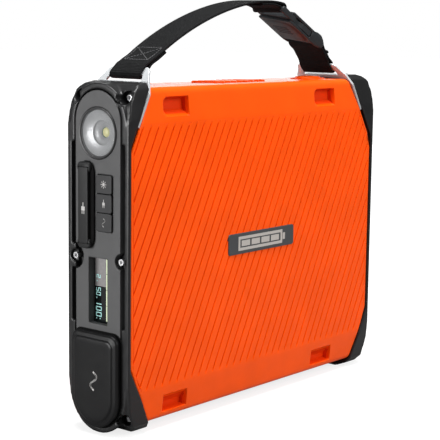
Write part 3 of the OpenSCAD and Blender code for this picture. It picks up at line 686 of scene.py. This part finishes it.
def button_icons():
    """Pale icons on the outer faces of the buttons and covers."""
    for node, shapes, slot, aside, up in (("light_button", sun_icon(5.2), "button_black", 0, 0),
                                          ("usb_button", plug_icon(5.6), "button_black", 0, 0),
                                          ("ac_button", wave_icon(5.6), "button_black", 0, 0),
                                          ("usb_cover", plug_icon(8), "rubber_black", 0, -2),
                                          ("ac_cover", wave_icon(13), "cover_black", -1.5, 0)):
        middle, half = mm_middle(node)
        plane = side_plane(middle.x - half.x + 0.02, middle.y + aside, middle.z + up)
        draw_icon(node + "_icon", shapes, plane, label_pale, node)
    bolt = [[(-5, -0.6), (1.2, -3.4), (0.6, -0.4), (5, 0.6), (-1.2, 3.4), (-0.6, 0.4)]]
    middle, half = mm_middle("jump_cover")
    plane = Matrix.Rotation(pi, 4, "Z") @ side_plane(0.02 - middle.x - half.x, 0, middle.z)
    draw_icon("jump_cover_icon", bolt, plane, label_pale, "jump_cover")


# ---------- end fittings ----------

PANEL_FACE = 150.0           # from the middle to the control panel and the port plate
COVER_LEVELS = [(0.9, 0.05), (0.15, 0.5), (0, 1.2), (0, 3.0), (0.25, 3.9), (0.8, 4.5), (1.6, 4.8),
                (3.3, 4.95), (3.7, 5.1), (4.1, 5.5), (4.6, 5.85), (5.3, 6.0), (8.0, 6.0)]
SHADOW_SHEET_MARGIN = 1.3            # width of the near-black sheet round a cover: painted shadow where a recess would be
SHADOW_SHEET_SECTION = [(-SHADOW_SHEET_MARGIN, -0.2), (-SHADOW_SHEET_MARGIN, 0.12), (1, 0.12), (1, -0.2), (-SHADOW_SHEET_MARGIN, -0.2)]


def cover_ring(inset, x, radius, low, top, corner):
    """One level of a port cover: round below, square with small corners above."""
    r = radius - inset
    level = top - inset - corner
    points = [(x, r * cos(a), low + r * sin(a)) for a in [pi * (1 + k / 36) for k in range(37)]]
    for sy, start in ((1, 0), (-1, pi / 2)):
        for a in [start + pi / 2 * k / 8 for k in range(9)]:
            points.append((x, sy * (r - corner) + corner * cos(a), level + corner * sin(a)))
    return points


def port_cover(node, side):
    """Cover with a soft outer bevel, open behind for the hinge lug, its plug, and a near-black sheet
    round it that is painted shadow.
    """
    low, high = mm_box(node)
    radius = (high.y - low.y) / 2
    centre = low.z + radius

    bm = bmesh.new()
    add_loft(bm, [cover_ring(inset, side * (PANEL_FACE + proud), radius, centre, high.z,
                             7 - min(inset, 4) * 0.5) for inset, proud in COVER_LEVELS])
    face_out(bm)
    cover = object_from(node + "_moulded", bm, 60)
    pin, _ = mm_middle(node + "_pin")
    x0, x1 = sorted((side * (PANEL_FACE - 1), pin.x + side * 1.6))
    z0, z1 = pin.z - 4, high.z - 0.9
    lug = Matrix.Translation(((x0 + x1) / 2, 0, (z0 + z1) / 2))
    bm = bmesh.new()
    bmesh.ops.create_cube(bm, size=1, matrix=lug @ Matrix.Diagonal((x1 - x0, 12.8, z1 - z0, 1)))
    cutter = object_from("lug_cutter", bm)
    add_cut(cover, cutter)
    apply_modifiers(cover)
    bpy.data.objects.remove(cutter)
    soften(cover.data, 60)

    bm = bmesh.new()
    add_loft(bm, [cover_ring(inset, side * (PANEL_FACE + depth), 15.5, low.z + 22, high.z - 12, 6)
                  for inset, depth in ((0, 0.3), (0.2, -1.2), (0.9, -1.6))])
    solid(node + "_plug", bm, 50, rubber, node)

    # Thin near-black sheet on the panel round the cover: painted shadow in place of a recess.
    bm = bmesh.new()
    add_grid(bm, [cover_ring(inset, side * (PANEL_FACE + proud), radius, centre, high.z, 8)
                  for inset, proud in SHADOW_SHEET_SECTION], closed=True)
    bmesh.ops.remove_doubles(bm, verts=bm.verts, dist=0.01)
    solid(node + "_painted_shadow", bm, 50, rubber_painted_shade)
    place(cover, cover_black, node, (node,))


def rounded_rectangle(half_u, half_v, radius, steps=10):
    """Outline about the origin, with an arc at each corner."""
    points = []
    for su, sv, start in ((1, 1, 0), (-1, 1, 90), (-1, -1, 180), (1, -1, 270)):
        for k in range(steps + 1):
            a = radians(start + 90 * k / steps)
            points.append((su * (half_u - radius) + radius * cos(a),
                           sv * (half_v - radius) + radius * sin(a)))
    return points


def usb_flap():
    """Soft flap: a low rim, and on it a tall narrow bar with a rounded tab at each end. The rim and
    the bar's side wall are near-black: painted shade.
    """
    (x, y, z), (half_x, half_w, half_l) = mm_middle("usb_cover")
    proud = half_x - x - PANEL_FACE
    bar_w, bar_l = 4.8, half_l - 3.6
    tab_w, tab_l = bar_w + 1.5, 3.8

    def layers(name, levels, corner, material, up=0, aside=0.5, replaced=()):
        bm = bmesh.new()
        add_loft(bm, [[(-PANEL_FACE - p, y + aside + u, z + up + v)
                       for u, v in rounded_rectangle(w, l, min(corner, w - 0.02))]
                      for p, w, l in levels])
        solid(name, bm, 50, material, "usb_cover", replaced)

    # The rim and the wall under the bar take the near-black: painted shade round and beside the bar.
    rim = [(0.15, half_w - 0.3, half_l - 0.3), (0.7, half_w, half_l), (1.3, half_w, half_l),
           (1.6, half_w - 0.3, half_l - 0.3), (1.7, half_w - 1, half_l - 1)]
    layers("usb_flap_rim", rim, half_w, rubber_painted_shade, 0, 0, ("usb_cover",))
    wall = [(1.5, bar_w + 0.35, bar_l), (proud - 0.7, bar_w, bar_l - 0.3)]
    layers("usb_flap_wall", wall, 1.4, rubber_painted_shade)
    bar = [(proud - 0.75, bar_w, bar_l - 0.3), (proud - 0.35, bar_w, bar_l - 0.3),
           (proud - 0.1, bar_w - 0.25, bar_l - 0.55), (proud, bar_w - 0.7, bar_l - 1)]
    layers("usb_flap_bar", bar, 1.3, rubber)
    tab = [(1.5, tab_w, tab_l), (proud - 1.3, tab_w, tab_l), (proud - 0.8, tab_w - 0.3, tab_l - 0.3),
           (proud - 0.55, tab_w - 0.9, tab_l - 0.9)]
    for name, end in (("usb_flap_upper_tab", 1), ("usb_flap_lower_tab", -1)):
        layers(name, tab, 3.4, rubber, end * (half_l - tab_l - 0.4))
    tongue = [(-0.9, half_w - 2.3, half_l - 7), (0.2, half_w - 2.1, half_l - 6.8)]
    layers("usb_flap_plug", tongue, 2, rubber, -2, 0)


def lamp():
    """Bezel ring, lens, stepped reflector bowl and light source, turned about one axis."""
    low, high = mm_box("lamp_bezel")
    (_, y, z), (_, outer, _) = mm_middle("lamp_bezel")
    lens_low, lens_high = mm_box("lamp_lens")
    lens_r = (lens_high.y - lens_low.y) / 2
    led_low, led_high = mm_box("lamp_led")
    tip = 0.01               # radius of a point on the axis, before its points are joined

    def turned_piece(name, node, material, profile, angle=32, segments=96):
        bm = bmesh.new()
        add_grid(bm, [[(x, y + r * cos(a), z + r * sin(a)) for a in turns(segments)]
                      for x, r in profile], closed=True)
        if profile[-1][1] == tip:
            bmesh.ops.remove_doubles(bm, verts=bm.verts, dist=5 * tip)
        solid(name, bm, angle, material, "root", (node,))

    turned_piece("lamp_bezel_ring", "lamp_bezel", bezel_black,
                 [(high.x, outer), (low.x + 0.9, outer), (low.x + 0.35, outer - 0.15),
                  (low.x, outer - 0.6), (low.x + 0.1, lens_r + 0.5), (low.x + 0.5, lens_r + 0.12),
                  (high.x, lens_r + 0.12), (high.x, outer)], 40)
    inner = [(0, 15.9), (0.9, 14.6), (1.9, 12.2), (2.6, 9.9), (2.8, 8.9), (3.3, 8.6), (3.9, 8.45),
             (4.2, 8.1), (4.7, 6.4), (5.6, 4.6), (6.4, 3.7)]
    behind = [(6.7, 4.4), (5.0, 7.2), (4.3, 9.1), (3.1, 10.6), (1.2, 15.2), (0.3, 16.25)]
    turned_piece("lamp_bowl", "lamp_reflector", bowl,
                 [(lens_high.x + 0.25 + x, r) for x, r in inner + behind + inner[:1]], 25)
    turned_piece("lamp_led_dome", "lamp_led", phosphor,
                 [(led_low.x - 0.5, tip), (led_low.x - 0.4, 1.6), (led_low.x, 2.9),
                  (led_low.x + 0.5, 3.4), (led_high.x, 3.5), (led_high.x, tip)], segments=32)
    turned_piece("lamp_lens_disc", "lamp_lens", clear,
                 [(lens_high.x, tip), (lens_high.x, lens_r), (lens_low.x + 0.4, lens_r),
                  (lens_low.x + 0.08, lens_r - 0.4), (lens_low.x, lens_r - 1.2), (lens_low.x, tip)])


def nameplate():
    """Plate with a soft edge and a plain battery sign."""
    (cx, y, cz), (half_w, half_y, half_h) = mm_middle("nameplate")
    face = y - half_y
    rings = []
    for inset, y in ((0, face + 2 * half_y), (0, face + 0.35), (0.12, face + 0.12), (0.4, face),
                     (2, face)):
        outline = rounded_rectangle(half_w - inset, half_h - inset, 2.2 - min(inset, 1), 6)
        rings.append([(cx + u, y, cz + v) for u, v in outline])
    bm = bmesh.new()
    add_loft(bm, rings)
    solid("nameplate_body", bm, 50, plate_grey, "root", ("nameplate",))
    plane = Matrix(((1, 0, 0, cx), (0, 0, -1, face + 0.02), (0, 1, 0, cz), (0, 0, 0, 1)))
    shapes = frame_of(-29, -5.4, 25.6, 5.4, 2.2) + [rectangle(26.2, -2.6, 29, 2.6)]
    shapes += [rectangle(-25.2 + 12.1 * k, -2.2, -15.0 + 12.1 * k, 2.2) for k in range(4)]
    draw_icon("nameplate_sign", shapes, plane, plate_pale, height=0.1)


# ---------- buckle ----------

BUCKLE_MIDDLE = Vector((66, 0, 289.8))
BUCKLE_TILT = radians(28.3)
BUCKLE_ROLL = radians(8)


def on_buckle(u, y, w):
    """A place in the buckle's own frame: along it, across it and above it."""
    turn = Matrix.Rotation(BUCKLE_TILT, 3, "Y") @ Matrix.Rotation(BUCKLE_ROLL, 3, "X")
    return BUCKLE_MIDDLE + turn @ Vector((u, y, w))


def squared(c):
    """Pushes a sine or cosine outwards, so that a circle becomes an oblong."""
    return copysign(abs(c) ** 0.6, c)


def add_pad(bm, u, sign, levels):
    """Domed oblong pad on one broad face of the buckle."""
    add_loft(bm, [[on_buckle(u + half_u * squared(cos(a)), half_y * squared(sin(a)),
                             sign * w) for a in turns(48)] for w, half_u, half_y in levels])


def add_rail(bm, y, half_y, levels):
    """Rounded rail along one edge of the buckle, with its height at places along it."""
    add_loft(bm, [[on_buckle(u, y + half_y * cos(a), w + half_w * sin(a))
                   for a in turns(24)] for u, half_w, w in levels])


def add_grip(bm, u, half_y, w, radius):
    """Small raised bar across a pad, narrower at its ends."""
    levels = [(-half_y, radius / 2), (radius - half_y, radius), (half_y - radius, radius),
              (half_y, radius / 2)]
    add_loft(bm, [[on_buckle(u + r * cos(a), y, w + r * sin(a)) for a in turns(12)]
                  for y, r in levels])


def housing_details(bm):
    """Domed faces with grip bars, and raised knuckles at the webbing bar."""
    dome = [(3.6, 17, 16.4), (4.7, 16.6, 15.8), (5.4, 15, 14), (5.8, 12, 11), (5.9, 6, 6)]
    knuckle = [(12, 3, 0), (15, 4.8, 0), (20, 5.6, 0.6), (25, 5.3, 1.0), (29, 4, 0.6), (31.2, 1.8, 0)]
    for sign in (1, -1):
        add_pad(bm, 1, sign, dome)
        for k in range(4):
            add_grip(bm, -7 + 3.2 * k, 7.5, sign * 5.8, 0.75)
        add_rail(bm, sign * 15.7, 1.7, knuckle)


def plug_details(bm):
    """Rounded ends of the side rails and a collar where the prongs spring from."""
    for sign in (1, -1):
        add_rail(bm, sign * 16, 1.3, [(-31.4, 1.2, 0), (-30, 2.6, 0), (-26, 2.9, 0), (-19, 2.5, 0)])
    add_pad(bm, -15.6, 1, [(1.5, 3.6, 13.5), (2.6, 3.3, 13.2), (3.0, 2.7, 12.6)])


# ---------- handle ----------

WEB_W = 30.0
WEB_T = 1.9
LEFT_EYE = Vector((-117.2, 258.2))
RIGHT_EYE = Vector((107.3, 257.4))
MALE_BAR = Vector((41.35, 303.1))
FEMALE_BAR = Vector((91.1, 276.3))
ARCH = [LEFT_EYE, Vector((-68, 294.5)), Vector((3, 313)), MALE_BAR + Vector((0.5, 3))]
SHORT = [FEMALE_BAR, Vector((95.5, 271)), Vector((101.5, 264.5)), RIGHT_EYE]
PLATE_WRAP = 2.5             # radius of the webbing's middle line round a bracket's bar
PLATE_SPAN = 5.0             # between the two arcs of that line
BAR_WRAP = 3.05              # radius of the middle line round a buckle's bar
LAYER = 2.02                 # between the middle lines of two layers
LEFT_LEAN = 52               # of a bracket's plate, in degrees from +X in the X-Z plane
RIGHT_LEAN = 134


def bezier(p, t):
    s = 1 - t
    return p[0] * s ** 3 + p[1] * (3 * t * s * s) + p[2] * (3 * t * t * s) + p[3] * t ** 3


def bezier_normal(p, t):
    s = 1 - t
    d = (p[1] - p[0]) * (3 * s * s) + (p[2] - p[1]) * (6 * t * s) + (p[3] - p[2]) * (3 * t * t)
    d.normalize()
    return Vector((-d.y, d.x))


def resample(points, step):
    """Equal steps along a polyline."""
    out = [points[0]]
    left = step
    for a, b in zip(points, points[1:]):
        length = (b - a).length
        while length > left:
            a = a.lerp(b, left / length)
            out.append(a)
            length = (b - a).length
            left = step
        left -= length
    return out


def relaxed(points, rounds):
    """Smooths a polyline whose ends stay."""
    for _ in range(rounds):
        inner = [(a + b * 2 + c) / 4 for a, b, c in zip(points, points[1:], points[2:])]
        points = [points[0], *inner, points[-1]]
    return points


def arc(centre, radius, start, end, steps=14):
    angles = [radians(lerp(start, end, k / steps)) for k in range(steps + 1)]
    return [centre + Vector((cos(a), sin(a))) * radius for a in angles]


def eye_turn(eye, lean):
    """Half turn of the webbing below the slot of a bracket, whose plate leans."""
    angle = radians(lean)
    lower = eye - Vector((cos(angle), sin(angle))) * PLATE_SPAN
    return arc(lower, PLATE_WRAP, lean - 90, lean - 270)


def long_route():
    """Free end under the arch, round the left bar, over the arch and round the male bar."""
    under, over = [], []
    for k in range(101):
        p, n = bezier(ARCH, k / 100), bezier_normal(ARCH, k / 100)
        reach = (p - LEFT_EYE).length
        top = lerp(PLATE_WRAP, 1.0, smooth(reach / 7)) - smooth((reach - 7) / 10)
        between = lerp(2 * PLATE_WRAP, LAYER, smooth(reach / 7))
        over.append(p + n * top)
        if p.x < -96:
            under.append(p + n * (top - between))
    end = bezier_normal(ARCH, 1.0)
    start = degrees(atan2(end.y, end.x))
    tail = []
    for k in range(1, 14):
        t = 1 - 0.016 * k
        tail.append(bezier(ARCH, t) + bezier_normal(ARCH, t) * -lerp(3.4, LAYER, smooth(k / 6)))
    points = list(reversed(under[2:])) + eye_turn(LEFT_EYE, LEFT_LEAN) + over[2:-1]
    points += arc(MALE_BAR, BAR_WRAP, start, start - 190) + tail
    return relaxed(resample(points, 0.5), 6)


def short_route():
    """Closed round the right bracket's bar and the female bar, ends sewn together."""
    over, under = [], []
    for k in range(41):
        p, n = bezier(SHORT, k / 40), bezier_normal(SHORT, k / 40)
        near = smooth((p - FEMALE_BAR).length / 8)
        far = smooth((p - RIGHT_EYE).length / 7)
        half = lerp(BAR_WRAP, LAYER / 2, near) + (PLATE_WRAP - LAYER / 2) * (1 - far)
        over.append(p + n * half)
        under.append(p - n * half)
    begin = bezier_normal(SHORT, 0)
    start = degrees(atan2(-begin.y, -begin.x))
    middle = len(under) // 2
    points = over[middle:-2] + eye_turn(RIGHT_EYE, RIGHT_LEAN) + list(reversed(under[1:-2]))
    points += arc(FEMALE_BAR, BAR_WRAP, start, start - 180)[1:-1] + over[1:middle + 6]
    lift = bezier_normal(SHORT, 0.5) * LAYER
    points = points[:-5] + [p + lift for p in points[-5:]]
    return relaxed(resample(points, 0.5), 5)


def web_section():
    """Half thickness of the webbing at places across it, thin at its edges."""
    half = WEB_W / 2
    places = [0, 0.18, 0.5, 1.1, 1.5, 1.9, 2.6]
    heights = [0.25, 0.62, 0.86, 1.0, 0.86, 1.0, 1.0]
    left = [(-half + p, WEB_T / 2 * h) for p, h in zip(places, heights)]
    inner = [(y, WEB_T / 2) for y in spread(-half + 4, half - 4, 2.2)]
    right = [(-y, h) for y, h in reversed(left)]
    return left + inner + right


def strap(name, route):
    """Webbing swept along a route in the X-Z plane, with picks across it and bumpy edges."""
    bm = bmesh.new()
    layer = bm.loops.layers.uv.new("along")
    section = web_section()
    grid, lengths = [], []
    run = 0.0                # length so far
    for i, p in enumerate(route):
        before, after = route[max(0, i - 1)], route[min(len(route) - 1, i + 1)]
        d = (after - before).normalized()
        n = Vector((-d.y, d.x))
        run += (p - before).length
        pick = 0.05 * sin(2 * pi * run / 1.5)
        edge = 0.16 * sin(2 * pi * run / 2.0)
        row = []
        for sign in (1, -1):
            for y, h in (section if sign > 0 else list(reversed(section))):
                out = copysign(edge, y) if abs(y) > WEB_W / 2 - 0.7 else 0
                q = p + n * sign * (h + pick)
                row.append((q.x, y + out, q.y))
        grid.append(row)
        lengths.append(run)
    add_loft(bm, grid)
    bm.verts.index_update()
    count = len(grid[0])
    for face in bm.faces:
        for loop in face.loops:
            row = loop.vert.index // count
            loop[layer].uv = (lengths[row], loop.vert.co.y)
    face_out(bm)
    return object_from(name, bm, 60)


def add_stitch(bm, start, end, up, radius=0.3):
    """One thread stitch: a short bead that dips into the webbing at both ends."""
    along = end - start
    side = along.cross(up).normalized()
    rings = []
    for t, lift, r in ((0.02, -0.15, 0.5), (0.2, 0.1, 0.95), (0.5, 0.2, 1), (0.8, 0.1, 0.95),
                       (0.98, -0.15, 0.5)):
        centre = start + along * t + up * lift
        rings.append([centre + (side * cos(a) + up * sin(a)) * radius * r for a in turns(6)])
    add_loft(bm, rings)


def sew(name, route, first, last, pitch, across=11.5):
    """A sewn box with a cross in it, on one face of the webbing between two places of a route."""
    bm = bmesh.new()

    def on_web(s, y):
        i = min(len(route) - 2, max(1, int(lerp(first, last, s))))
        d = (route[i + 1] - route[i - 1]).normalized()
        n = Vector((-d.y, d.x))
        q = route[i] + n * (WEB_T / 2 + 0.02)
        return Vector((q.x, y, q.y)), Vector((n.x, 0, n.y))

    corners = [(0, -1), (1, -1), (1, 1), (0, 1)]
    lines = list(zip(corners, corners[1:] + corners[:1])) + [((0, -1), (1, 1)), ((0, 1), (1, -1))]
    length = (route[last] - route[first]).length
    for (s0, y0), (s1, y1) in lines:
        size = hypot((s1 - s0) * length, (y1 - y0) * across)
        stitches = max(3, round(size / pitch))
        for k in range(stitches):
            a, b = k / stitches, (k + 0.86) / stitches
            p, up = on_web(lerp(s0, s1, a), across * lerp(y0, y1, a))
            q, _ = on_web(lerp(s0, s1, b), across * lerp(y0, y1, b))
            add_stitch(bm, p, q, up)
    face_out(bm)
    return object_from(name, bm, 60)


def nearest(route, x, after, before):
    """Index of the route's point nearest to a place along X, within a stretch."""
    return min(range(after, before), key=lambda i: abs(route[i].x - x))


def sewn_webbing(name, sewing, route, replaced, seam, pitch):
    """A length of webbing and its stitching between the bracket and the handle, placed in no body."""
    for piece, material, stands_for in ((strap(name, route), webbing, replaced),
                                        (sew(sewing, route, *sorted(seam), pitch), thread, ())):
        place(piece, material, None, stands_for)
        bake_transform(piece)


def handle():
    """The long webbing with its folded end, and the short one doubled on itself."""
    route = long_route()
    lowest = min(range(len(route) // 2), key=lambda i: route[i].y)
    seam = [nearest(route, x, lowest, len(route) // 2) for x in (-111, -96.5)]
    sewn_webbing("handle_webbing", "handle_stitching", route, ("left_strap_loop", "long_webbing"),
                 seam, 2.3)

    route = short_route()
    turn = max(range(len(route)), key=lambda i: route[i].x - route[i].y)
    seam = [nearest(route, x, 0, turn) for x in (103, 96.5)]
    sewn_webbing("short_strap", "short_strap_stitching", route,
                 ("right_strap_loop", "short_webbing"),
                 seam, 2.0)


# ---------- scene ----------

def camera():
    """The camera at the viewing angle of the reference."""
    yaw, pitch, roll = radians(39.685), radians(8.3725), radians(0.6996)
    ahead = Vector((cos(yaw) * cos(pitch), sin(yaw) * cos(pitch), -sin(pitch)))
    level = Vector((sin(yaw), -cos(yaw), 0))
    above = level.cross(ahead)
    right = level * cos(roll) + above * sin(roll)
    up = above * cos(roll) - level * sin(roll)
    lens = bpy.data.cameras.new("camera")
    lens.sensor_width = 36
    lens.lens = 110.385
    lens.clip_start, lens.clip_end = 0.05, 20
    scene.camera = linked(bpy.data.objects.new("camera", lens))
    axes = Matrix((right, up, -ahead)).transposed().to_4x4()
    scene.camera.matrix_world = Matrix.Translation((-0.81298, -0.66119, 0.29178)) @ axes


def area_light(name, place_at, target, size, power):
    light = bpy.data.lights.new(name, "AREA")
    light.shape = "RECTANGLE"
    light.size, light.size_y = size
    light.energy = power
    made = linked(bpy.data.objects.new(name, light))
    made.location = place_at
    made.rotation_mode = "QUATERNION"
    made.rotation_quaternion = (Vector(target) - Vector(place_at)).to_track_quat("-Z", "Y")


def floor_white():
    """Pale floor that glows for the camera alone, more so far from the pack."""
    white = Surface("floor_white", (0.28, 0.28, 0.28), 0.95, Specular_IOR_Level=0.0,
                    Emission_Color=(1, 1, 1, 1))
    white.mottle(400, 0.01).uneven(300, 0.03)
    far = white.node("ShaderNodeVectorMath", operation="LENGTH")
    white.link(white.coordinates, far.inputs[0])
    glow = white.ranged(far.outputs["Value"], 0.8, 1.1, 0.2, 0.8)
    path = white.node("ShaderNodeLightPath")
    seen = white.node("ShaderNodeMath", operation="MULTIPLY")
    white.link(glow, seen.inputs[0])
    white.link(path.outputs["Is Camera Ray"], seen.inputs[1])
    white.link(seen.outputs["Value"], white.shader.inputs["Emission Strength"])
    return white.material


def studio():
    """White surroundings, large soft lights and a white floor."""
    world = bpy.data.worlds.new("white_studio")
    scene.world = world
    world.use_nodes = True
    tree = world.node_tree
    background, seen = tree.nodes["Background"], tree.nodes.new("ShaderNodeBackground")
    for shader, strength in ((background, 0.22), (seen, 1.0)):
        shader.inputs["Color"].default_value = (1, 1, 1, 1)
        shader.inputs["Strength"].default_value = strength
    path = tree.nodes.new("ShaderNodeLightPath")
    mix = tree.nodes.new("ShaderNodeMixShader")
    tree.links.new(path.outputs["Is Camera Ray"], mix.inputs["Fac"])
    tree.links.new(background.outputs["Background"], mix.inputs[1])
    tree.links.new(seen.outputs["Background"], mix.inputs[2])
    tree.links.new(mix.outputs["Shader"], tree.nodes["World Output"].inputs["Surface"])
    middle = (0, 0, 0.13)
    area_light("overhead", (-0.05, -0.1, 1.25), middle, (0.8, 0.8), 24)
    area_light("front_fill", (0.35, -1.5, 1.0), middle, (0.8, 0.8), 18)
    area_light("left_fill", (-1.5, 0.45, 0.25), middle, (0.9, 0.6), 24)
    area_light("back_wall", (1.7, 1.4, 0.35), middle, (1.8, 1.0), 14)

    bm = bmesh.new()
    lines = (-9000, -600, 600, 9000)
    add_grid(bm, [[(x, y, 0) for x in lines] for y in lines])
    floor = object_from("floor", bm)
    floor.location.z = -0.0002
    floor.data.materials.append(floor_white())
    scene.view_settings.view_transform = "Standard"


def build():
    paint_cad_nodes()
    cutter = vent_cutter()
    build_shell("front_shell_skin", -1, "front_shell", cutter)
    build_shell("rear_shell_skin", 1, "rear_shell", cutter)
    bpy.data.objects.remove(cutter)
    top_pad()
    vent_slats()
    for node in ("left_end_cap", "right_end_cap"):
        moulded(node, cap_black, voxel=0.7, rounds=4, keep=0.35)
    for node in ("control_panel", "right_port_plate"):
        moulded(node, panel_grey, voxel=0.45)
    usb_flap()
    for node in ("light_button", "usb_button", "ac_button"):
        moulded(node, button_black, node, voxel=0.25)
    port_cover("ac_cover", -1)
    port_cover("jump_cover", 1)
    for node in ("left_strap_bracket", "right_strap_bracket"):
        moulded(node, steel, voxel=0.3, rounds=4)
    moulded("buckle_male", buckle_black, "handle", 0.3, 4, extra=plug_details)
    moulded("buckle_female", buckle_black, "handle", 0.3, 5, extra=housing_details)
    for node in ("front_prong", "rear_prong"):
        moulded(node, buckle_black, node, voxel=0.25)
    lamp()
    nameplate()
    display_graphics()
    button_icons()
    handle()
    camera()
    studio()


build()
